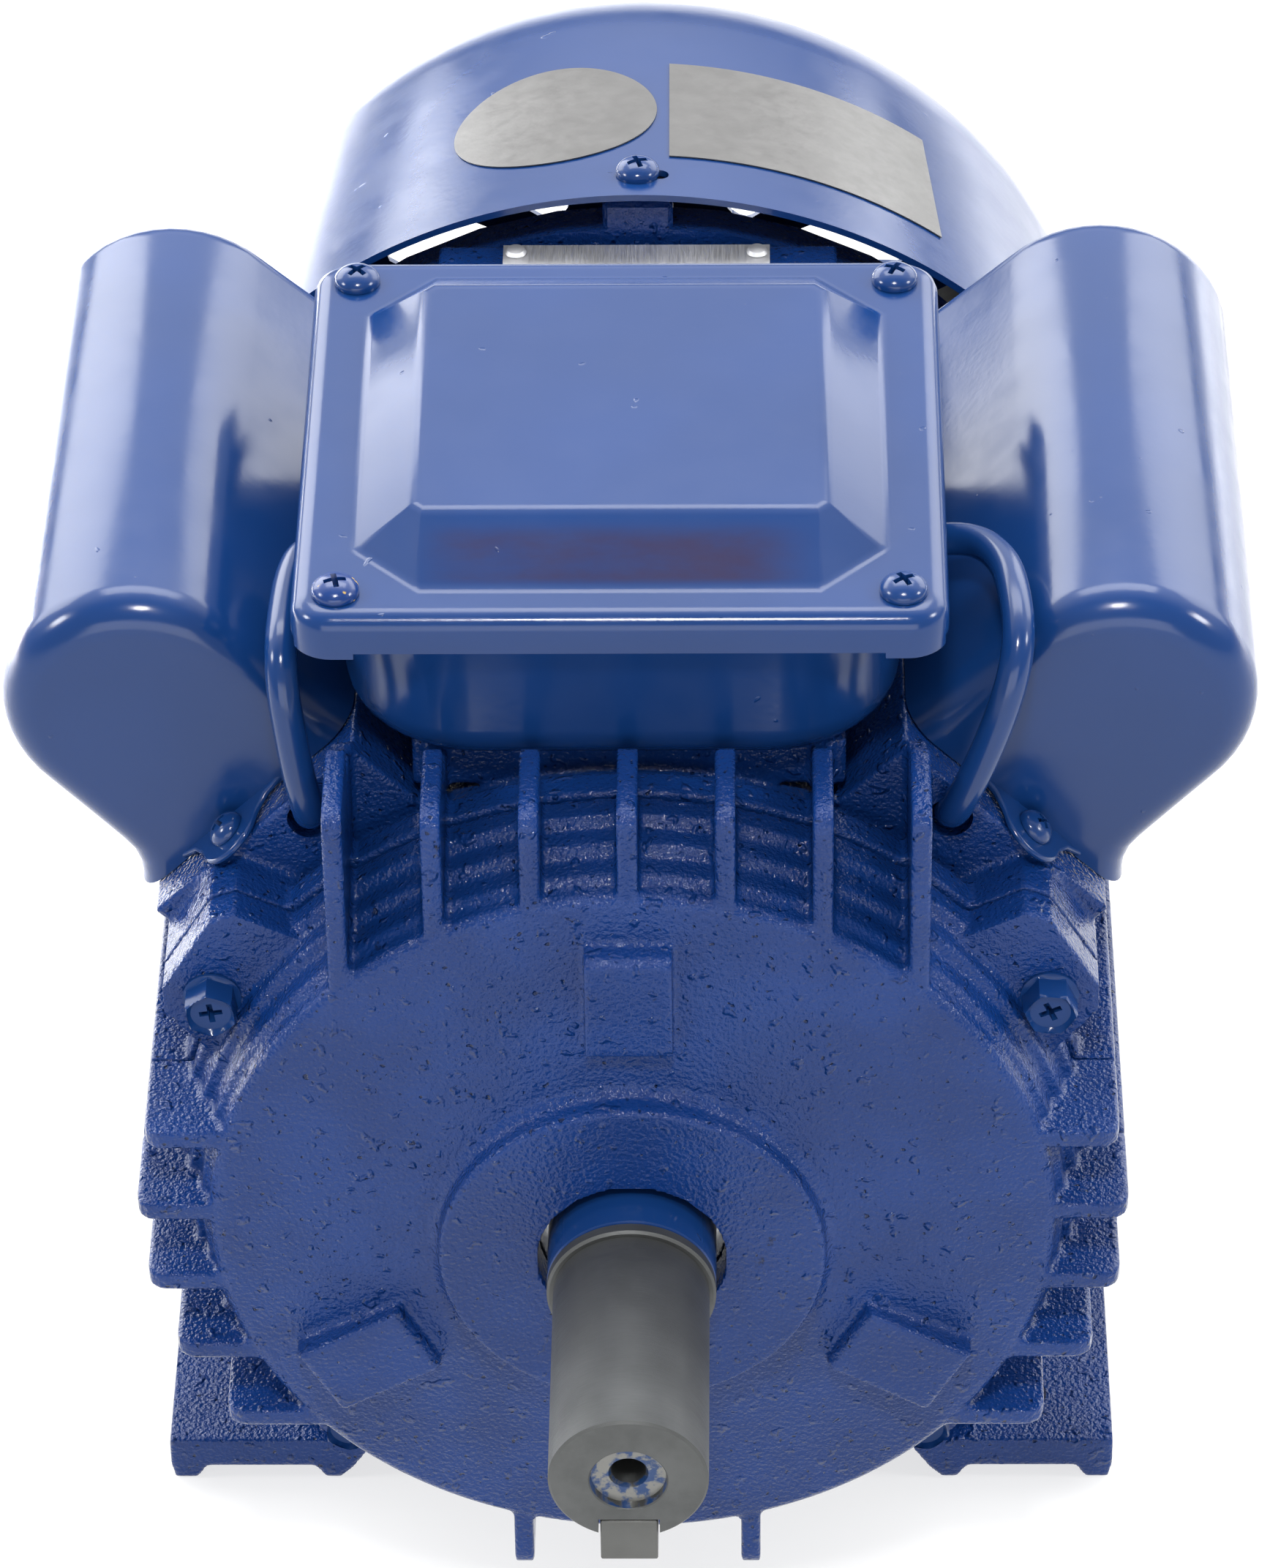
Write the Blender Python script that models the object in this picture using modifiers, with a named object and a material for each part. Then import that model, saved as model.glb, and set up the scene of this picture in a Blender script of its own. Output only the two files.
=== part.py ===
"""Foot-mounted single-phase capacitor motor, frame size 90, built from separate pieces.

Every mesh is drawn in one frame: origin on the shaft axis in the plane of the drive-end face,
X to the right, Y backwards along the shaft, Z up. Objects are placed by their location.
"""
import math

import bmesh
import bpy
from mathutils import Matrix, Vector

# ---------------------------------------------------------------- driving dimensions (metres)
AXIS_HEIGHT = 0.090          # shaft axis above the feet
FACE_Y = -0.1036             # drive-end face, so that the whole motor is centred in Y
GAP = 0.0003                 # clearance between neighbouring pieces

SHAFT_RADIUS = 0.012
SHAFT_TIP_Y = -0.0533
SHAFT_COLLAR_RADIUS = 0.013
SHAFT_COLLAR_Y = -0.0126
SHAFT_END_Y = 0.2130
KEY_WIDTH = 0.0086
KEY_PROUD_RADIUS = 0.0163
KEY_SEAT_RADIUS = 0.0083
KEY_END_Y = -0.0180

DISC_RADIUS = 0.0654
DISC_EDGE_Y = 0.0036          # the face falls back slightly towards its edge
BOSS_RADIUS = 0.0298
BOSS_HEIGHT = 0.0045
SEAL_BORE_RADIUS = 0.0145
FRONT_JOINT_Y = 0.0210
REAR_JOINT_Y = 0.1630
BARREL_RADIUS = 0.069
BORE_RADIUS = 0.065
SPIGOT_RADIUS = 0.0644        # centring rim of both end shields
CORE_SEAT_RADIUS = 0.0605
FLANGE_RADIUS = 0.0715

FIN_THICKNESS = 0.0033
FIN_TOP_Z = 0.0805
FIN_RADIUS = 0.0770
FIN_PITCH = 0.0146
SIDE_FIN_ZS = (0.0170, 0.0024, -0.0122, -0.0268, -0.0414)
BOTTOM_FIN_X = 0.0182
PAD_TOP_Z = 0.0745            # flat cast pad that carries terminal box and nameplate
CORNER_DISTANCE = 0.0815     # sloping seats of the capacitor covers, measured from the axis

FOOT_HALF_WIDTH = 0.0784
FOOT_INNER_X = 0.0490
FOOT_FRONT_Y = 0.0405
FOOT_REAR_Y = 0.1605
FOOT_THICKNESS = 0.0086
FOOT_HOLE_X = 0.0625
FOOT_HOLE_YS = (0.052, 0.152)
FOOT_HOLE_RADIUS = 0.005

BOX_X = -0.0010
BOX_Y = 0.0681
LID_HALF_X = 0.0490
LID_HALF_Y = 0.0473
LID_TOP_Z = 0.1044
PLATEAU_TOP_Z = 0.1110
LID_SKIRT_Z = 0.0971
TUB_BOTTOM_Z = 0.0748
TUB_TOP_Z = 0.0995
LID_SCREW_X = 0.0422
LID_SCREW_Y = 0.0405

COVER_AXIS_DISTANCE = 0.1060
COVER_RADIUS = 0.0210
COVER_BASE_DISTANCE = 0.0818
COVER_FRONT_Y = 0.0355
COVER_REAR_Y = 0.1410
COVER_SHEET = 0.0010
COVER_FILLET = 0.0060

COWL_RIM_Y = 0.1595
COWL_RIM_RADIUS = 0.0865
COWL_TAPER = math.radians(7.05)
COWL_FILLET = 0.0428
COWL_BACK_Y = 0.2605
COWL_SHEET = 0.0012
COWL_SCREW_Y = 0.1670
COWL_LUG_ANGLES = (90, 210, 330)

BLUE = (0.012, 0.032, 0.150, 1.0)
STEEL = (0.42, 0.43, 0.43, 1.0)
ZINC = (0.62, 0.62, 0.60, 1.0)
COPPER = (0.60, 0.24, 0.11, 1.0)
LAMINATION = (0.20, 0.20, 0.21, 1.0)
ALUMINIUM = (0.68, 0.69, 0.70, 1.0)
BLACK_PLASTIC = (0.02, 0.02, 0.022, 1.0)
WHITE_PLASTIC = (0.70, 0.69, 0.64, 1.0)
BRASS = (0.62, 0.45, 0.18, 1.0)
GREY_LABEL = (0.28, 0.28, 0.27, 1.0)
RUBBER = (0.03, 0.03, 0.03, 1.0)

AXIS_POINT = Vector((0.0, FACE_Y, AXIS_HEIGHT))
RING_STEPS = 36

# ---------------------------------------------------------------- scene set-up
for old in list(bpy.data.objects):
    bpy.data.objects.remove(old, do_unlink=True)

motor = bpy.data.collections.new("electric_motor")
bpy.context.scene.collection.children.link(motor)
cutters = bpy.data.collections.new("cutters")
cutters.hide_render = True
bpy.context.scene.collection.children.link(cutters)


# ---------------------------------------------------------------- helpers
def material(name, colour, metallic, roughness):
    mat = bpy.data.materials.new(name)
    mat.use_nodes = True
    shader = mat.node_tree.nodes["Principled BSDF"]
    shader.inputs["Base Color"].default_value = colour
    shader.inputs["Metallic"].default_value = metallic
    shader.inputs["Roughness"].default_value = roughness
    return mat


def add_piece(name, mesh, look, origin=AXIS_POINT):
    """Put a mesh into the motor as one named piece with its own material."""
    piece = bpy.data.objects.new(name, mesh)
    piece.location = origin
    motor.objects.link(piece)
    mesh.materials.clear()
    mesh.materials.append(material(name + "_material", *look))
    mesh.shade_smooth()
    mesh.set_sharp_from_angle(angle=math.radians(32))
    return piece


def baked(obj):
    """Turn an object with modifiers, or a curve, into a plain closed mesh and drop the object."""
    bpy.context.view_layer.update()
    graph = bpy.context.evaluated_depsgraph_get()
    mesh = bpy.data.meshes.new_from_object(obj.evaluated_get(graph))
    mesh.transform(obj.matrix_world)
    bpy.data.objects.remove(obj, do_unlink=True)
    bm = bmesh.new()
    bm.from_mesh(mesh)
    bmesh.ops.remove_doubles(bm, verts=bm.verts, dist=0.00001)
    bmesh.ops.recalc_face_normals(bm, faces=bm.faces)
    bm.to_mesh(mesh)
    bm.free()
    return mesh


def turned(profile, steps=RING_STEPS, ring=False):
    """Solid of revolution about the shaft axis from (radius, y) points; a ring closes on itself."""
    mesh = bpy.data.meshes.new("profile")
    edges = [(i, i + 1) for i in range(len(profile) - 1)]
    if ring:
        edges.append((len(profile) - 1, 0))
    mesh.from_pydata([(r, y, 0.0) for r, y in profile], edges, [])
    obj = bpy.data.objects.new("profile", mesh)
    motor.objects.link(obj)
    screw = obj.modifiers.new("Turn", "SCREW")
    screw.axis = "Y"
    screw.steps = steps
    screw.render_steps = steps
    screw.use_merge_vertices = True
    screw.merge_threshold = 0.00001
    return baked(obj)


def slab(outline, thickness, matrix=None):
    """Flat plate: a closed outline in local XY, extruded both ways along local Z."""
    curve = bpy.data.curves.new("outline", "CURVE")
    curve.dimensions = "2D"
    curve.fill_mode = "BOTH"
    curve.extrude = thickness / 2
    spline = curve.splines.new("POLY")
    spline.points.add(len(outline) - 1)
    for point, (x, y) in zip(spline.points, outline):
        point.co = (x, y, 0.0, 1.0)
    spline.use_cyclic_u = True
    obj = bpy.data.objects.new("outline", curve)
    motor.objects.link(obj)
    if matrix is not None:
        obj.matrix_world = matrix
    return baked(obj)


def tube(points, radius, resolution=2):
    """Round wire along a chain of points, with closed ends."""
    curve = bpy.data.curves.new("route", "CURVE")
    curve.dimensions = "3D"
    curve.bevel_depth = radius
    curve.bevel_resolution = resolution
    curve.use_fill_caps = True
    spline = curve.splines.new("POLY")
    spline.points.add(len(points) - 1)
    for point, co in zip(spline.points, points):
        point.co = (*co, 1.0)
    obj = bpy.data.objects.new("route", curve)
    motor.objects.link(obj)
    return baked(obj)


def stacked(loops, ring=False):
    """Closed skin through equal-length loops: capped at both ends, or closing on itself."""
    bm = bmesh.new()
    rings = [[bm.verts.new(co) for co in loop] for loop in loops]
    pairs = list(zip(rings, rings[1:]))
    if ring:
        pairs.append((rings[-1], rings[0]))
    else:
        bm.faces.new(rings[0])
        bm.faces.new(rings[-1])
    for lower, upper in pairs:
        for i in range(len(lower)):
            bm.faces.new((lower[i - 1], lower[i], upper[i], upper[i - 1]))
    bmesh.ops.remove_doubles(bm, verts=bm.verts, dist=0.00001)
    bmesh.ops.triangulate(bm, faces=bm.faces)
    bmesh.ops.recalc_face_normals(bm, faces=bm.faces)
    mesh = bpy.data.meshes.new("skin")
    bm.to_mesh(mesh)
    bm.free()
    return mesh


def block(x0, x1, y0, y1, z0, z1, matrix=None, bevel=0.0):
    bm = bmesh.new()
    bmesh.ops.create_cube(bm, size=1.0)
    bmesh.ops.scale(bm, vec=(x1 - x0, y1 - y0, z1 - z0), verts=bm.verts)
    bmesh.ops.translate(bm, vec=((x0 + x1) / 2, (y0 + y1) / 2, (z0 + z1) / 2), verts=bm.verts)
    if bevel:
        bmesh.ops.bevel(bm, geom=bm.edges, offset=bevel, segments=1, affect="EDGES")
    if matrix is not None:
        bmesh.ops.transform(bm, matrix=matrix, verts=bm.verts)
    mesh = bpy.data.meshes.new("block")
    bm.to_mesh(mesh)
    bm.free()
    return mesh


def pin(radius, y0, y1, matrix=None, segments=24, top_radius=None):
    """Cylinder or cone along local Y from y0 to y1."""
    bm = bmesh.new()
    bmesh.ops.create_cone(
        bm, cap_ends=True, segments=segments, radius1=radius,
        radius2=radius if top_radius is None else top_radius, depth=y1 - y0,
    )
    bmesh.ops.rotate(bm, cent=(0, 0, 0), matrix=Matrix.Rotation(-math.pi / 2, 3, "X"), verts=bm.verts)
    bmesh.ops.translate(bm, vec=(0, (y0 + y1) / 2, 0), verts=bm.verts)
    if matrix is not None:
        bmesh.ops.transform(bm, matrix=matrix, verts=bm.verts)
    mesh = bpy.data.meshes.new("pin")
    bm.to_mesh(mesh)
    bm.free()
    return mesh


def gathered(meshes):
    """Several separate solids in one mesh, used only as a Boolean operand."""
    bm = bmesh.new()
    for mesh in meshes:
        bm.from_mesh(mesh)
        bpy.data.meshes.remove(mesh)
    out = bpy.data.meshes.new("operand")
    bm.to_mesh(out)
    bm.free()
    return out


def boolean(piece, meshes, operation):
    """Fuse, cut or trim a piece with an operand that stays in the cutters collection."""
    operand = bpy.data.objects.new(piece.name + "_" + operation.lower(), gathered(meshes))
    operand.location = piece.location
    operand.display_type = "WIRE"
    operand.hide_render = True
    cutters.objects.link(operand)
    step = piece.modifiers.new(operation.title(), "BOOLEAN")
    step.operation = operation
    step.solver = "EXACT"
    step.object = operand
    return step


def fuse(piece, meshes):
    return boolean(piece, meshes, "UNION")


def cut(piece, meshes):
    return boolean(piece, meshes, "DIFFERENCE")


def about_axis(degrees):
    """Turns a shape drawn above the axis (+Z) to the given polar angle in the XZ plane."""
    return Matrix.Rotation(math.radians(90 - degrees), 4, "Y")


def frame_at(point, x_dir, y_dir):
    """Placement whose local X and Y run along the given directions."""
    x = Vector(x_dir).normalized()
    y = Vector(y_dir).normalized()
    z = x.cross(y)
    turn = Matrix((x, y, z)).transposed().to_4x4()
    return Matrix.Translation(Vector(point)) @ turn


def rounded_rectangle(half_x, half_y, radius, corner_steps=4):
    points = []
    for cx, cy, start in ((1, 1, 0), (-1, 1, 90), (-1, -1, 180), (1, -1, 270)):
        for i in range(corner_steps + 1):
            a = math.radians(start + 90 * i / corner_steps)
            points.append((
                cx * (half_x - radius) + radius * math.cos(a),
                cy * (half_y - radius) + radius * math.sin(a),
            ))
    return points


def box_loop(half_x, half_y, radius, z):
    return [(BOX_X + x, BOX_Y + y, z) for x, y in rounded_rectangle(half_x, half_y, radius)]


PAINT = (BLUE, 0.0, 0.35)
BARE_STEEL = (STEEL, 1.0, 0.35)
PLATED = (ZINC, 1.0, 0.30)
STACK = (LAMINATION, 1.0, 0.55)
BEARING = (STEEL, 1.0, 0.20)


# ---------------------------------------------------------------- fins shared by shield and housing
def fin_outline(y0, y1, root, tip, nose):
    """Side view of one fin as (y, height): flat front edge with a small rounded nose."""
    return [
        (y0, root), (y0, tip - nose), (y0 + nose * 0.35, tip - nose * 0.3),
        (y0 + nose, tip), (y1, tip), (y1, root),
    ]


def top_fin(x, y0, y1, nose):
    root = math.sqrt(BORE_RADIUS ** 2 - x ** 2) + 0.0006
    return slab(
        fin_outline(y0, y1, root - 0.001, FIN_TOP_Z, nose), FIN_THICKNESS,
        frame_at((x, 0, 0), (0, 1, 0), (0, 0, 1)),
    )


def side_fin(side, z, y0, y1, nose):
    reach = math.sqrt(FIN_RADIUS ** 2 - z ** 2)
    root = math.sqrt((BORE_RADIUS + 0.0006) ** 2 - z ** 2) - 0.0004
    return slab(
        fin_outline(y0, y1, root, reach, nose), FIN_THICKNESS, frame_at((0, 0, z), (0, 1, 0), (side, 0, 0)),
    )


def bottom_fin(x, y0, y1, nose):
    root = math.sqrt(BORE_RADIUS ** 2 - x ** 2)
    return slab(
        fin_outline(y0, y1, root, 0.0745, nose), FIN_THICKNESS, frame_at((x, 0, 0), (0, 1, 0), (0, 0, -1)),
    )


def fin_set(y0, y1, nose):
    fins = [top_fin(FIN_PITCH * i, y0, y1, nose) for i in range(-3, 4)]
    for side in (-1, 1):
        fins += [side_fin(side, z, y0, y1, nose) for z in SIDE_FIN_ZS]
        fins.append(bottom_fin(side * BOTTOM_FIN_X, y0, y1, nose))
    return fins


def bolt_lug(side, y0, y1):
    """Cast corner ear that takes an end-shield bolt, upper left or upper right."""
    outline = [
        (0.050, 0.022), (0.064, 0.0235), (0.0715, 0.0335), (0.0715, 0.0385), (0.0640, 0.0515),
        (0.0600, 0.0530), (0.045, 0.046),
    ]
    return slab(
        [(side * x, z) for x, z in outline], y1 - y0,
        frame_at((0, (y0 + y1) / 2, 0), (1, 0, 0), (0, 0, 1)),
    )


UPPER_BOLTS = ((-0.0640, 0.0368), (0.0640, 0.0368))
LOWER_BOLTS = ((-0.0459, -0.0504), (0.0459, -0.0504))
REAR_BOLTS = tuple(
    (0.0700 * math.cos(math.radians(a)), 0.0700 * math.sin(math.radians(a))) for a in (45, 135, 225, 315)
)

# ---------------------------------------------------------------- stator housing with feet
housing = add_piece(
    "stator_housing",
    turned([
        (0.0, REAR_JOINT_Y), (BARREL_RADIUS, REAR_JOINT_Y), (BARREL_RADIUS, FRONT_JOINT_Y + 0.0063),
        (FLANGE_RADIUS, FRONT_JOINT_Y + 0.0050), (FLANGE_RADIUS, FRONT_JOINT_Y + GAP),
        (0.0, FRONT_JOINT_Y + GAP),
    ]),
    PAINT,
)
fuse(housing, fin_set(FRONT_JOINT_Y + GAP, REAR_JOINT_Y - 0.0040, 0.0005))
# cast seats: a sloping one under each capacitor cover, a flat pad for terminal box and nameplate
for corner in (45, 135):
    fuse(housing, [block(-0.0225, 0.0225, 0.0290, 0.1500, 0.0625, 0.0840, about_axis(corner))])
fuse(housing, [block(-0.0330, 0.0330, 0.0300, REAR_JOINT_Y - 0.0002, 0.0500, 0.0790)])
fuse(housing, [bolt_lug(side, FRONT_JOINT_Y + GAP, 0.0460) for side in (-1, 1)])
fuse(housing, [
    pin(0.0065, FRONT_JOINT_Y + GAP, 0.0420, Matrix.Translation((x, 0, z)), 16) for x, z in LOWER_BOLTS
] + [
    pin(0.0065, 0.1440, REAR_JOINT_Y, Matrix.Translation((x, 0, z)), 16) for x, z in REAR_BOLTS
])
LENGTHWISE = frame_at((0, 0, 0), (1, 0, 0), (0, 0, 1))


def foot_plate(side):
    low = -AXIS_HEIGHT
    high = FOOT_THICKNESS - AXIS_HEIGHT
    outline = [
        (FOOT_INNER_X - 0.0038, low + 0.0062), (FOOT_INNER_X - 0.0010, low + 0.0020),
        (FOOT_INNER_X + 0.0010, low), (FOOT_INNER_X + 0.0034, low), (FOOT_INNER_X + 0.0052, low + 0.0026),
        (FOOT_HALF_WIDTH - 0.0060, low + 0.0026), (FOOT_HALF_WIDTH - 0.0044, low),
        (FOOT_HALF_WIDTH - 0.0006, low), (FOOT_HALF_WIDTH, low + 0.0040), (FOOT_HALF_WIDTH, high),
        (FOOT_INNER_X - 0.0020, high), (FOOT_INNER_X - 0.0050, high + 0.0030),
    ]
    return slab(
        [(side * x, z) for x, z in outline], FOOT_REAR_Y - FOOT_FRONT_Y,
        Matrix.Translation((0, (FOOT_FRONT_Y + FOOT_REAR_Y) / 2, 0)) @ LENGTHWISE,
    )


def foot_web(side):
    outline = [(0.0360, -0.0560), (0.0500, -0.0440), (0.0560, -0.0830), (0.0440, -0.0830)]
    return slab(
        [(side * x, z) for x, z in outline], FOOT_REAR_Y - FOOT_FRONT_Y - 0.0100,
        Matrix.Translation((0, (FOOT_FRONT_Y + FOOT_REAR_Y) / 2, 0)) @ LENGTHWISE,
    )


fuse(housing, [foot_plate(side) for side in (-1, 1)])
fuse(housing, [foot_web(side) for side in (-1, 1)])
cut(housing, [
    pin(FOOT_HOLE_RADIUS, -0.0950, -0.0700, Matrix.Translation((side * FOOT_HOLE_X, y, 0)) @ LENGTHWISE)
    for side in (-1, 1) for y in FOOT_HOLE_YS
])
# sloping seats and top pad are planed flat together with the fins that would stand above them
cut(housing, [
    block(-0.0600, 0.0600, 0.0230, 0.1800, CORNER_DISTANCE, 0.1200, about_axis(45)),
    block(-0.0600, 0.0600, 0.0230, 0.1800, CORNER_DISTANCE, 0.1200, about_axis(135)),
])
cut(housing, [block(-0.0520, 0.0520, 0.0205, 0.1800, PAD_TOP_Z, 0.1200)])
# the bore: a spigot seat at each end and a closer fit for the stator core between them
cut(housing, [turned([
    (0.0, 0.0190), (BORE_RADIUS, 0.0190), (BORE_RADIUS, FRONT_JOINT_Y + 0.0050),
    (CORE_SEAT_RADIUS, FRONT_JOINT_Y + 0.0065), (CORE_SEAT_RADIUS, REAR_JOINT_Y - 0.0065),
    (BORE_RADIUS, REAR_JOINT_Y - 0.0055), (BORE_RADIUS, 0.1660), (0.0, 0.1660),
])])
cut(housing, [
    pin(0.0028, 0.0150, 0.0400, Matrix.Translation((x, 0, z)), 12) for x, z in UPPER_BOLTS + LOWER_BOLTS
] + [
    pin(0.0028, 0.1480, 0.1700, Matrix.Translation((x, 0, z)), 12) for x, z in REAR_BOLTS
])

# ---------------------------------------------------------------- drive end shield
shield = add_piece(
    "drive_end_shield",
    turned([
        (0.0, -BOSS_HEIGHT), (BOSS_RADIUS - 0.0006, -BOSS_HEIGHT),
        (BOSS_RADIUS, -BOSS_HEIGHT + 0.0006), (BOSS_RADIUS + 0.0002, -0.0010), (BOSS_RADIUS + 0.0014, 0.0),
        (DISC_RADIUS - 0.0015, DISC_EDGE_Y - 0.0005), (DISC_RADIUS - 0.0003, DISC_EDGE_Y + 0.0004),
        (DISC_RADIUS + 0.0002, DISC_EDGE_Y + 0.0018),
        (DISC_RADIUS + 0.0018, 0.0130), (DISC_RADIUS + 0.0044, 0.0147), (FLANGE_RADIUS - 0.0010, 0.0153),
        (FLANGE_RADIUS - 0.0010, FRONT_JOINT_Y), (SPIGOT_RADIUS, FRONT_JOINT_Y),
        (SPIGOT_RADIUS, FRONT_JOINT_Y + 0.0040), (0.0, FRONT_JOINT_Y + 0.0040),
    ]),
    PAINT,
)
fuse(shield, fin_set(DISC_EDGE_Y, FRONT_JOINT_Y, 0.0030))
fuse(shield, [bolt_lug(side, 0.0150, FRONT_JOINT_Y) for side in (-1, 1)])
fuse(shield, [
    pin(0.0065, 0.0150, FRONT_JOINT_Y, Matrix.Translation((x, 0, z)), 16) for x, z in LOWER_BOLTS
])
fuse(shield, [
    block(-0.0066, 0.0066, -0.0012, 0.0042, 0.0386, 0.0570, about_axis(a), 0.0006) for a in (90, 210, 330)
])
cut(shield, [
    pin(0.0028, 0.0050, FRONT_JOINT_Y + 0.001, Matrix.Translation((x, 0, z)), 12)
    for x, z in UPPER_BOLTS + LOWER_BOLTS
])
cut(shield, [
    pin(0.0052, 0.0050, 0.0149, Matrix.Translation((x, 0, z)), 16) for x, z in UPPER_BOLTS + LOWER_BOLTS
])
# hollow side: bearing hub in the middle, deep annular pocket round it
cut(shield, [turned([
    (0.0, -0.0060), (SEAL_BORE_RADIUS, -0.0060), (SEAL_BORE_RADIUS, 0.0022), (0.0263, 0.0022),
    (0.0263, 0.0180), (0.0315, 0.0180), (0.0320, 0.0085), (0.0350, 0.0065), (0.0590, 0.0110),
    (0.0605, 0.0245), (0.0605, 0.0260), (0.0, 0.0260),
])])

# ---------------------------------------------------------------- rear end shield
rear_shield = add_piece(
    "rear_end_shield",
    turned([
        (0.0110, 0.1720), (0.0750, 0.1720), (0.0775, 0.1700), (0.0775, REAR_JOINT_Y + GAP),
        (SPIGOT_RADIUS, REAR_JOINT_Y + GAP), (SPIGOT_RADIUS, REAR_JOINT_Y - 0.0045),
        (0.0605, REAR_JOINT_Y - 0.0045), (0.0600, 0.1670), (0.0300, 0.1670), (0.0290, 0.1530),
        (0.0238, 0.1530), (0.0238, 0.1673), (0.0110, 0.1673),
    ], ring=True),
    PAINT,
)
fuse(rear_shield, [
    block(-0.0058, 0.0058, REAR_JOINT_Y + GAP, 0.1730, 0.0700, 0.0822, about_axis(a), 0.0008)
    for a in COWL_LUG_ANGLES
])
cut(rear_shield, [
    pin(0.0028, 0.1600, 0.1800, Matrix.Translation((x, 0, z)), 12) for x, z in REAR_BOLTS
])

# ---------------------------------------------------------------- fan cowl
cone_end_y = COWL_BACK_Y - COWL_FILLET
fillet_r = (
    COWL_RIM_RADIUS - (cone_end_y - COWL_RIM_Y) * math.tan(COWL_TAPER) - COWL_FILLET / math.cos(COWL_TAPER)
)


def cowl_radius(y):
    return COWL_RIM_RADIUS - (y - COWL_RIM_Y) * math.tan(COWL_TAPER)


def cowl_profile(inset):
    """Outline from the flat back out over the large fillet and forward to the rim."""
    radius = COWL_FILLET - inset
    points = [(0.0, COWL_BACK_Y - inset)]
    for i in range(6):
        a = math.radians(90) + (COWL_TAPER - math.radians(90)) * i / 5
        points.append((fillet_r + radius * math.cos(a), cone_end_y + radius * math.sin(a)))
    points.append((COWL_RIM_RADIUS - inset / math.cos(COWL_TAPER), COWL_RIM_Y))
    return points


cowl = add_piece(
    "fan_cowl", turned(cowl_profile(0.0) + list(reversed(cowl_profile(COWL_SHEET)))), PAINT,
)
air_slot = [(-0.0033, 0.0225), (0.0033, 0.0225), (0.0074, 0.0460), (-0.0074, 0.0460)]
cut(cowl, [
    slab(air_slot, 0.0200, about_axis(15 + 30 * i) @ frame_at((0, COWL_BACK_Y, 0), (-1, 0, 0), (0, 0, 1)))
    for i in range(12)
])
across = Matrix.Translation((0, COWL_SCREW_Y, 0)) @ LENGTHWISE
cut(cowl, [pin(0.0024, 0.0800, 0.0950, about_axis(a) @ across, 12) for a in COWL_LUG_ANGLES])
cut(rear_shield, [pin(0.0023, 0.0735, 0.0950, about_axis(a) @ across, 12) for a in COWL_LUG_ANGLES])


# ---------------------------------------------------------------- screws and bolts
def add_screw(name, matrix, head_radius, head_height, shank_radius, shank_length, look):
    """Pan-head screw: local Y runs out of the head, whose underside is at y = 0."""
    mesh = turned([
        (0.0, head_height), (head_radius * 0.60, head_height * 0.90), (head_radius, head_height * 0.25),
        (head_radius, 0.0), (shank_radius, 0.0), (shank_radius, -shank_length), (0.0, -shank_length),
    ], 8)
    mesh.transform(matrix)
    return add_piece(name, mesh, look)


def add_bolt(name, x, z, seat_y, shank_length, direction):
    """M5 hexagon bolt; direction -1 points the head to the front, 1 to the rear."""
    mesh = turned([
        (0.0, 0.0042), (0.0030, 0.0042), (0.0036, 0.0048), (0.0044, 0.0046), (0.0044, 0.0),
        (0.0025, 0.0), (0.0025, -shank_length), (0.0, -shank_length),
    ], 6)
    mesh.transform(frame_at((x, seat_y, z), (direction, 0, 0), (0, direction, 0)))
    return add_piece(name, mesh, PAINT)


for number, (x, z) in enumerate(UPPER_BOLTS + LOWER_BOLTS, 1):
    add_bolt(f"front_bolt_{number}", x, z, 0.0150 - GAP, 0.0230, -1)
for number, (x, z) in enumerate(REAR_BOLTS, 1):
    add_bolt(f"rear_bolt_{number}", x, z, 0.1720 + GAP, 0.0220, 1)
for number, angle in enumerate(COWL_LUG_ANGLES, 1):
    add_screw(
        f"cowl_screw_{number}",
        about_axis(angle) @ Matrix.Translation((0, 0, cowl_radius(COWL_SCREW_Y) + 0.0008)) @ across,
        0.0037, 0.0026, 0.0020, 0.0110, PAINT,
    )

# ---------------------------------------------------------------- terminal box
tub = add_piece("terminal_box_base", stacked([
    box_loop(0.0385, 0.0400, 0.0170, TUB_BOTTOM_Z + 0.0012), box_loop(0.0410, 0.0428, 0.0190, 0.0790),
    box_loop(0.0410, 0.0428, 0.0190, TUB_TOP_Z), box_loop(0.0470, 0.0452, 0.0120, TUB_TOP_Z),
    box_loop(0.0470, 0.0452, 0.0120, TUB_TOP_Z - 0.0012),
    box_loop(0.0422, 0.0440, 0.0200, TUB_TOP_Z - 0.0012),
    box_loop(0.0422, 0.0440, 0.0200, 0.0790), box_loop(0.0395, 0.0410, 0.0180, TUB_BOTTOM_Z),
]), PAINT)
gasket = add_piece("terminal_box_gasket", stacked([
    box_loop(0.0412, 0.0430, 0.0190, 0.1029), box_loop(0.0462, 0.0446, 0.0210, 0.1029),
    box_loop(0.0462, 0.0446, 0.0210, TUB_TOP_Z + GAP), box_loop(0.0412, 0.0430, 0.0190, TUB_TOP_Z + GAP),
], ring=True), (RUBBER, 0.0, 0.8))
inner_top = LID_TOP_Z - 0.0012
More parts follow.
